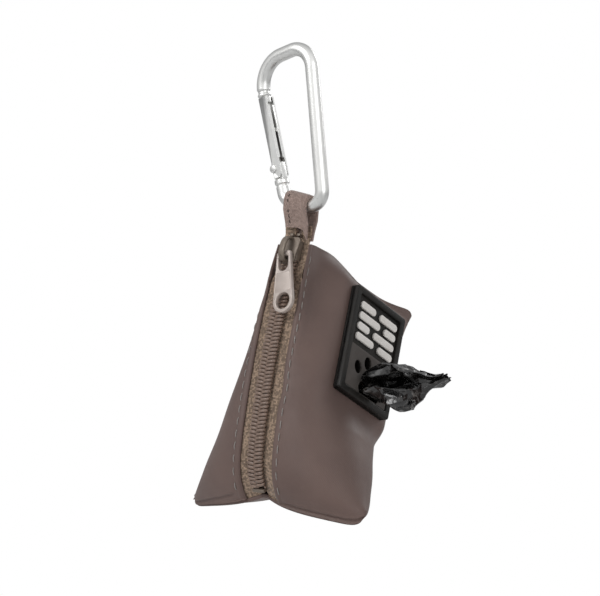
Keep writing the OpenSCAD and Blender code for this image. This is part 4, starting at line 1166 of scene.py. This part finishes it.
def web_rings(around=72, along=40):
    """Rings from the roll's side to the plate, interpolated between five ovals, with lengthwise pleats."""
    t = np.linspace(0, 2 * np.pi, around, endpoint=False)
    keys = [fan(13.7, -9, 42, 0.35, 18, t), fan(15.4, -6, 46.5, 0.6, 14, t),
            fan(17.4, -2, 50.6, 1.2, 9, t), fan(19.2, 1.2, 53.2, 3.0, 4.6, t)]
    turned = math.radians(10)
    u, w = 5.0 * np.cos(t), 3.2 * np.sin(t)
    last = np.stack([neck[0] + u * math.cos(turned) - w * math.sin(turned),
                     neck[1] + u * math.sin(turned) + w * math.cos(turned), 0 * t - 1.1], -1)
    keys = np.array(keys + [plate_to_pouch(last)])
    share = np.linspace(0, 4, along)
    j = np.minimum(share.astype(int), 3)
    f = (share - j)[:, None, None]
    rings = keys[j] * (1 - f) + keys[j + 1] * f
    middle = rings.mean(1, keepdims=True)
    pleat = 1 - 0.16 * np.abs(np.sin(7 * t))[None, :, None] * step(0, 1, share)[:, None, None]
    return middle + (rings - middle) * pleat


points, faces = tube(web_rings())
add_piece("bag_web_film", pouch(points), faces, film, "pouch", None, ["bag_web"], 40)

# %% [markdown]
# ## Snap hook
#
# The body is one bent rod, so it is a circle carried along four arcs and straight runs, with a turned
# neck at the nose and a collar at the hinge. The gate is a folded channel. A narrow slot in it shows
# its spring and plunger.

# %% The rod's line
rod_r = 2.65
# Middles (x, z) and radii of the two upper arcs, a point on the bottom bar, and leans in degrees
nose_c, nose_r, crown_c, crown_r = np.array([-4.6, -10.65]), 12.0, np.array([0, -5.55]), 8.2
spine_lean, bar_c, bar_slope, gate_lean = 6.1, np.array([2.3, -56.18]), 12.0, 15.0
# Radii of the two lower corners, and the rod's two ends as distances down the gate's line
corner_r, heel_r, hinge_end, nose_end = 5.5, 4.0, 34.3, 1.0
# The rivet's distance down that line and its offset from it, and the gate's width
rivet_s, rivet_off, gate_w = 29.9, -1.0, 4.8


def heading(a):
    """Unit vector (x, z) at an angle in degrees."""
    return np.stack([np.cos(np.radians(a)), np.sin(np.radians(a))], -1)


def meet(p, a, q, b):
    """Where the line from p along angle a meets the line from q along angle b."""
    d, u, w = q - p, heading(a), heading(b)
    return p + u * (d[0] * w[1] - d[1] * w[0]) / (u[0] * w[1] - u[1] * w[0])


between = crown_c - nose_c
bridge_a = math.degrees(math.atan2(between[1], between[0])
                        + math.acos((nose_r - crown_r) / np.linalg.norm(between)))
spine_a, bar_a, gate_a = -90 + spine_lean, 180 - bar_slope, -90 + gate_lean
gate_0 = nose_c + nose_r * heading(180 + gate_lean)
spine_0 = crown_c + crown_r * heading(spine_lean)
corner_p = meet(spine_0, spine_a, bar_c, bar_a)
corner_turn = spine_a - bar_a + 360
corner_run = corner_r * math.tan(math.radians(corner_turn / 2))
heel_p = meet(gate_0, gate_a, bar_c, bar_a)
heel_turn = 180 - gate_lean - bar_slope - 90
heel_run = heel_r * math.tan(math.radians(heel_turn / 2))


def bend(c, r, a0, a1, n):
    """Arc of radius r about c: points and the angle of their outward normal."""
    a = np.linspace(a0, a1, n)
    return c + r * heading(a), a


nose_line = gate_0 + heading(gate_a) * np.linspace(nose_end, 0.05, 24)[:, None]
corner_c = corner_p - heading(spine_a) * corner_run + heading(spine_a - 90) * corner_r
heel_c = heel_p - heading(gate_a) * heel_run + heading(gate_a + 90) * heel_r
runs = [(nose_line, np.full(24, 180 + gate_lean)),
        bend(nose_c, nose_r, 180 + gate_lean, bridge_a, 40), bend(crown_c, crown_r, bridge_a, spine_lean, 60),
        bend(corner_c, corner_r, spine_lean, spine_lean - corner_turn, 48),
        bend(heel_c, heel_r, gate_a - 90 + heel_turn, gate_a - 90, 30)]
tip = gate_0 + heading(gate_a) * hinge_end
start = runs[-1][0][-1]
runs.append((start + (tip - start) * np.linspace(0.02, 1, 50)[:, None], np.full(50, gate_a - 90)))
line = np.concatenate([r[0] for r in runs])
out_angle = np.concatenate([r[1] for r in runs])
run = np.concatenate([[0], np.cumsum(np.linalg.norm(np.diff(line, axis=0), axis=-1))])
print("rod", round(run[-1], 1), "mm long")

# %% The rod, with its neck and collar
def rod_radius(run, total):
    """2.65 mm, less a soft neck near the nose end, with a proud collar and a groove at the hinge end,
    and both rims rounded."""
    neck_in = -0.42 * np.exp(-(((run - 1.7) / 0.75) ** 4))
    far = total - run
    collar = 0.16 * step(0.0, 0.25, far) * (1 - step(1.7, 2.0, far)) \
        - 0.3 * np.exp(-(((far - 2.45) / 0.35) ** 4))
    rims = -0.35 * (1 - step(0, 0.4, run)) - 0.3 * (1 - step(0, 0.35, far))
    return rod_r + neck_in + collar + rims


dense = np.unique(np.concatenate([run, np.linspace(0, 5, 40), np.linspace(run[-1] - 5, run[-1], 50)]))
line = np.column_stack([np.interp(dense, run, line[:, k]) for k in (0, 1)])
out_angle = np.interp(dense, run, np.unwrap(out_angle, period=360))
r = rod_radius(dense, run[-1])[:, None]
t = np.linspace(0, 2 * np.pi, 56, endpoint=False)[None]
n = heading(out_angle)
rod = np.stack([line[:, :1] + r * np.cos(t) * n[:, :1], -r * np.sin(t),
                line[:, 1:] + r * np.cos(t) * n[:, 1:]], -1)


def on_gate(p, s, off=0.0):
    """Local (out of the gate's line, across, up the gate) at distance s down the gate, to the frame."""
    base = gate_0 + heading(gate_a) * s + heading(gate_a + 90) * off
    c, k = math.cos(math.radians(gate_lean)), math.sin(math.radians(gate_lean))
    x, z = base[0] + c * p[..., 0] - k * p[..., 2], base[1] + k * p[..., 0] + c * p[..., 2]
    return np.stack([x, p[..., 1], z], -1)


def upright_box(low, high, edge=0.2):
    """A rounded box whose flat faces look along Y: made in a plate's plane, then its axes swapped."""
    p, f = box_shape((low[0], low[2], low[1]), (high[0], high[2], high[1]), edge)
    return p[:, [0, 2, 1]], f


tongue, tongue_faces = upright_box((-1.95, -1.45, -(hinge_end - rivet_s + 2.3)), (2.25, 1.45, 0))
nose_key, nose_key_faces = upright_box((-1.1, -1.05, -3.2), (2.0, 1.05, 0))
points, faces = join_shapes([tube(rod), (on_gate(tongue, rivet_s - 2.2), tongue_faces),
                             (on_gate(nose_key, nose_end - 0.5), nose_key_faces)])
add_piece("hook_rod", points, faces, aluminium, "hook", None, ["carabiner_body"], 50)

# %% Gate, from its solid with rounded edges
def softened(node, name, finish, body, width, angle=28):
    """A copy of a node's own mesh: doubles merged, flat faces joined, then a bevel on its sharp edges."""
    mesh = nodes[node].data.copy()
    mesh.materials.clear()
    work = bmesh.new()
    work.from_mesh(mesh)
    bmesh.ops.remove_doubles(work, verts=work.verts, dist=2e-6)
    bmesh.ops.dissolve_limit(work, angle_limit=math.radians(0.5), use_dissolve_boundaries=False,
                             verts=work.verts, edges=work.edges)
    work.to_mesh(mesh)
    work.free()
    piece = dress(name, mesh, finish, body, [node], angle)
    bevel = piece.modifiers.new("edges", "BEVEL")
    bevel.width, bevel.segments, bevel.harden_normals = width * 0.001, 3, True
    bevel.limit_method, bevel.angle_limit = "ANGLE", math.radians(angle)
    return piece


softened("carabiner_gate", "gate_channel", aluminium, "gate", 0.16)


def domed(radius, height, count=40):
    """Rivet head: a flat disc edge that rises to a low dome, as rings about Z."""
    a = np.linspace(0, np.pi / 2, 12)
    ring_r = np.concatenate([[radius * 0.96, radius], radius * np.cos(a)[1:-1], [radius * 0.04]])
    ring_z = np.concatenate([[0, 0.08], 0.16 + (height - 0.16) * np.sin(a)[1:-1], [height]])
    t = np.linspace(0, 2 * np.pi, count, endpoint=False)[None]
    return np.stack([ring_r[:, None] * np.cos(t), ring_r[:, None] * np.sin(t), ring_z[:, None] + 0 * t], -1)


shapes = []
for side in (-1, 1):
    p, f = tube(domed(1.55, 0.62) * [1, 1, side] + [0, 0, side * (gate_w / 2 + 0.06)])
    shapes.append((on_gate(p[:, [0, 2, 1]], rivet_s, rivet_off), f))
shank = np.stack([0.9 * np.cos(t[0]) + 0 * t[0], 0 * t[0], 0.9 * np.sin(t[0])], -1)
shank = np.stack([shank + [0, y, 0] for y in np.linspace(-gate_w / 2 - 0.3, gate_w / 2 + 0.3, 4)])
p, f = tube(shank)
shapes.append((on_gate(p, rivet_s, rivet_off), f))
points, faces = join_shapes(shapes)
add_piece("rivet", points, faces, aluminium, "hook", None, ["gate_rivet"], 50)

# %% Plunger and spring
plunger_s, plunger_l, spring_l, plunger_travel = 27.62, 3.0, 9.2, 1.3
profile = np.array([[0.2, 0.0], [1.1, 0.0], [1.3, 0.2], [1.3, 2.75], [1.15, 3.0], [0.62, 3.0], [0.6, 3.1],
                    [0.6, 4.0], [0.45, 4.2], [0.1, 4.2]])
a = np.linspace(0, 2 * np.pi, 40, endpoint=False)[None]
rings = np.stack([profile[:, :1] * np.cos(a), profile[:, :1] * np.sin(a), profile[:, 1:] + 0 * a], -1)
points, faces = tube(rings)
add_piece("plunger_pin", on_gate(points, plunger_s), faces, steel, "plunger", None,
          ["gate_plunger"], 35)


def helix(radius, wire, turns, low, length, steps=28, sides=10):
    """Compression spring of even pitch: (R cos a, R sin a, low + rise), a tube of the wire's radius."""
    k = np.linspace(0, turns, turns * steps + 1)
    a = 2 * np.pi * k
    rise = wire / 2 + (length - wire) * k / turns
    centre = np.stack([radius * np.cos(a), radius * np.sin(a), low + rise], -1)
    radial = np.stack([np.cos(a), np.sin(a), 0 * a], -1)
    t = np.linspace(0, 2 * np.pi, sides, endpoint=False)[None, :, None]
    return tube(centre[:, None] + wire / 2 * (radial[:, None] * np.cos(t) + np.array([0, 0, 1.0]) * np.sin(t)))


points, faces = helix(1.05, 0.34, 11, plunger_l + 0.03, spring_l)
spring = add_piece("spring_wire", on_gate(points, plunger_s), faces, steel, "gate", None,
                   ["gate_spring"], 80)
up_gate = on_gate(np.array([0, 0, 1.0]), plunger_s) - on_gate(np.array([0, 0, 0.0]), plunger_s)
spring_top = on_gate(np.array([0, 0, 12.23]), plunger_s) * 0.001
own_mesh(spring)

# %% [markdown]
# ## Webbing loop
#
# A strip of webbing goes round the hook's bottom bar and both ends are sewn under the top seam. It is
# a band: a line of stations in the side view, carried across its width, thinner at its selvedges.

# %% Webbing
strap_w, strap_t, strap_mid = 11.0, 1.2, 2.6
eye_r = rod_r + 0.3
loop_r = eye_r + strap_t
strap_x = np.linspace(strap_mid - strap_w / 2, strap_mid + strap_w / 2, 33)[None]


def bar_z(x):
    """Height of the hook's bottom bar at x."""
    return bar_c[1] - (x - bar_c[0]) * math.tan(math.radians(bar_slope))


def leg(start, end, count):
    """Straight rows of (y, z) from start to end; each is given at four places across the webbing."""
    four = strap_mid + strap_w * np.array([-0.5, 0.05, 0.29, 0.5])
    share = np.linspace(0, 1, count)[:, None]
    return [np.interp(strap_x[0], four, np.array(start)[:, k])[None] * (1 - share)
            + np.interp(strap_x[0], four, np.array(end)[:, k])[None] * share for k in (0, 1)]


def same(y, z):
    """One place for all four points across the webbing."""
    return [[y, z]] * 4


a = np.radians(np.linspace(0, 180, 46))[:, None]
selvedge = 1 - 0.30 * np.abs((strap_x - strap_mid) / (strap_w / 2)) ** 10
bar_cos = math.cos(math.radians(bar_slope))
eye = [(-r * np.cos(a), bar_z(strap_x) + r * np.sin(a) / bar_cos)
       for r in (eye_r + strap_t * selvedge, eye_r + 0 * selvedge)]
# (y, z) at four places across the webbing: the front leg's foot, and the row just above it
flap = [[-2.74, -65.3], [-2.74, -65.5], [-2.85, -66.4], [-3.4, -70.2]]
above = [[-2.78, -64.8], [-2.78, -64.9], [-2.8, -65.3], [-3.0, -67.0]]
front_y_z = [leg(flap, above, 8), leg(above, same(-2.85, -64.0), 10),
             leg(same(-2.85, -64.0), same(-loop_r, -58.4), 14)]
back_y_z = [leg(same(loop_r, -58.6), same(3.5, -63.2), 12), leg(same(3.5, -63.2), same(1.8, -67.4), 12),
            leg(same(1.8, -67.4), same(0.78, -70.8), 8)]


def band(on_bar, inset):
    """One face of the webbing: front leg, the half turn round the bar, back leg, each moved in by inset."""
    y = np.concatenate([f[0] + inset for f in front_y_z] + [on_bar[0]] + [b[0] - inset for b in back_y_z])
    z = np.concatenate([f[1] for f in front_y_z] + [on_bar[1]] + [b[1] for b in back_y_z])
    return np.stack([np.broadcast_to(strap_x, y.shape), y, z], -1)


face, under = band(eye[0], 0), band(eye[1], strap_t * selvedge)
run = np.cumsum(np.linalg.norm(np.diff(face, axis=0, prepend=face[:1]), axis=-1), axis=0)
uv = np.stack([face[..., 0], run], -1)
points, faces = slab(face, under)
add_piece("webbing_loop", points, faces, webbing, "pouch", both(uv), ["strap_loop"], 60)
# Five edge stitches: two over the bar, at these angles, and three down the front leg
edge_x = strap_mid - strap_w / 2 + 2.5
over_bar = np.radians([36, 6])[:, None]
on_bar = np.hstack([0 * over_bar + edge_x, -loop_r * np.cos(over_bar),
                    bar_z(edge_x) + loop_r * np.sin(over_bar) / bar_cos])
down = np.array([0.12, 0.48, 0.84])[:, None]
on_leg = np.array([edge_x, -loop_r, -58.4]) + down * np.array([0, 1.3, -5.6])
leans = np.concatenate([over_bar[:, 0], np.full(3, -math.atan2(1.3, 5.6))])
up = np.stack([0 * leans, -np.cos(leans), np.sin(leans)], -1)
along = np.stack([0 * leans, np.sin(leans), np.cos(leans)], -1)
middle = np.concatenate([on_bar, on_leg]) + 0.03 * up
points, faces, uv = stitches(middle + 0.8 * along, middle - 0.8 * along, up, 0.15)
add_piece("webbing_stitches", points, faces, dark_thread, "pouch", uv, ["strap_stitches"], 80)

# %% [markdown]
# ## Floor, background and light
#
# The object hangs, so the floor is below the picture. Its middle is a pale matt sheet that takes the
# shadow, and further out it is plain white to the camera, as the background is. Three soft lamps
# light it: a key from the front left, a fill from the right and one behind. Shiny pieces reflect a
# world that is brighter towards the camera, and every other ray gets a soft pale sky.

# %% Floor
floor_half, floor_depth = 3, 0.25
floor_mesh = bpy.data.meshes.new("floor")
corners = [(x * floor_half, y * floor_half, -floor_depth) for x, y in ((-1, -1), (1, -1), (1, 1), (-1, 1))]
floor_mesh.from_pydata(corners, [], [(0, 1, 2, 3)])
floor = bpy.data.objects.new("floor", floor_mesh)
bpy.context.scene.collection.objects.link(floor)
matt = Finish("floor", Base_Color=(0.86, 0.86, 0.86, 1), Roughness=0.9)
at = matt.place()
at_floor = matt.node("Mapping", {}, {"Vector": at, "Location": (0, 0, floor_depth)})
distance = matt.node("VectorMath", {"operation": "LENGTH"}, {0: at_floor}, "Value")
camera_ray = matt.node("LightPath", {}, {}, "Is Camera Ray")
white = matt.node("Emission", {}, {"Color": (1, 1, 1, 1), "Strength": 1.0})
far_share = matt.ranged(distance, 0.08, 0.2)
lit = Wire(matt.tree, matt.shader.outputs[0])
shown = matt.node("MixShader", {}, {0: far_share * camera_ray, 1: lit, 2: white})
matt.tree.links.new(shown.socket, matt.tree.nodes["Material Output"].inputs["Surface"])
floor_mesh.materials.append(matt.material)

# %% World and lamps
world = bpy.data.worlds.new("world")
bpy.context.scene.world = world
world.use_nodes = True
tree = world.node_tree
tree.nodes.clear()
path = tree.nodes.new("ShaderNodeLightPath")
sky = tree.nodes.new("ShaderNodeTexCoord")
ahead = tree.nodes.new("ShaderNodeVectorMath")
ahead.operation = "DOT_PRODUCT"
ahead.inputs[1].default_value = back
tree.links.new(sky.outputs["Generated"], ahead.inputs[0])
facing = Wire(tree, ahead.outputs["Value"]) * 0.45 + 0.5
glossy = Wire(tree, path.outputs["Is Glossy Ray"]) * facing.math("MAXIMUM", facing, 0.05)
white_ray = Wire(tree, path.outputs["Is Camera Ray"]) + glossy
kinds = ("Background", "Background", "MixShader", "OutputWorld")
soft, bright, both_skies, out = [tree.nodes.new("ShaderNode" + kind) for kind in kinds]
soft.inputs["Color"].default_value = (0.86, 0.87, 0.88, 1)
soft.inputs["Strength"].default_value = 0.34
bright.inputs["Color"].default_value = (1, 1, 1, 1)
tree.links.new(white_ray.socket, both_skies.inputs[0])
tree.links.new(soft.outputs[0], both_skies.inputs[1])
tree.links.new(bright.outputs[0], both_skies.inputs[2])
tree.links.new(both_skies.outputs[0], out.inputs[0])


def lamp(name, place, size, power):
    """A square soft lamp that looks at the middle of the object."""
    data = bpy.data.lights.new(name, "AREA")
    data.size, data.energy = size, power
    made = bpy.data.objects.new(name, data)
    made.location = place
    made.rotation_mode = "QUATERNION"
    made.rotation_quaternion = (Vector(place) - Vector((0, 0, -0.09))).to_track_quat("Z", "Y")
    bpy.context.scene.collection.objects.link(made)


lamp("key", (-0.25, -0.75, 0.45), 0.5, 3.4)
lamp("fill", (0.95, -0.35, 0.15), 0.7, 1.6)
lamp("rim", (0.1, 0.8, 0.35), 0.5, 1.8)
bpy.context.scene.view_settings.view_transform = "Standard"
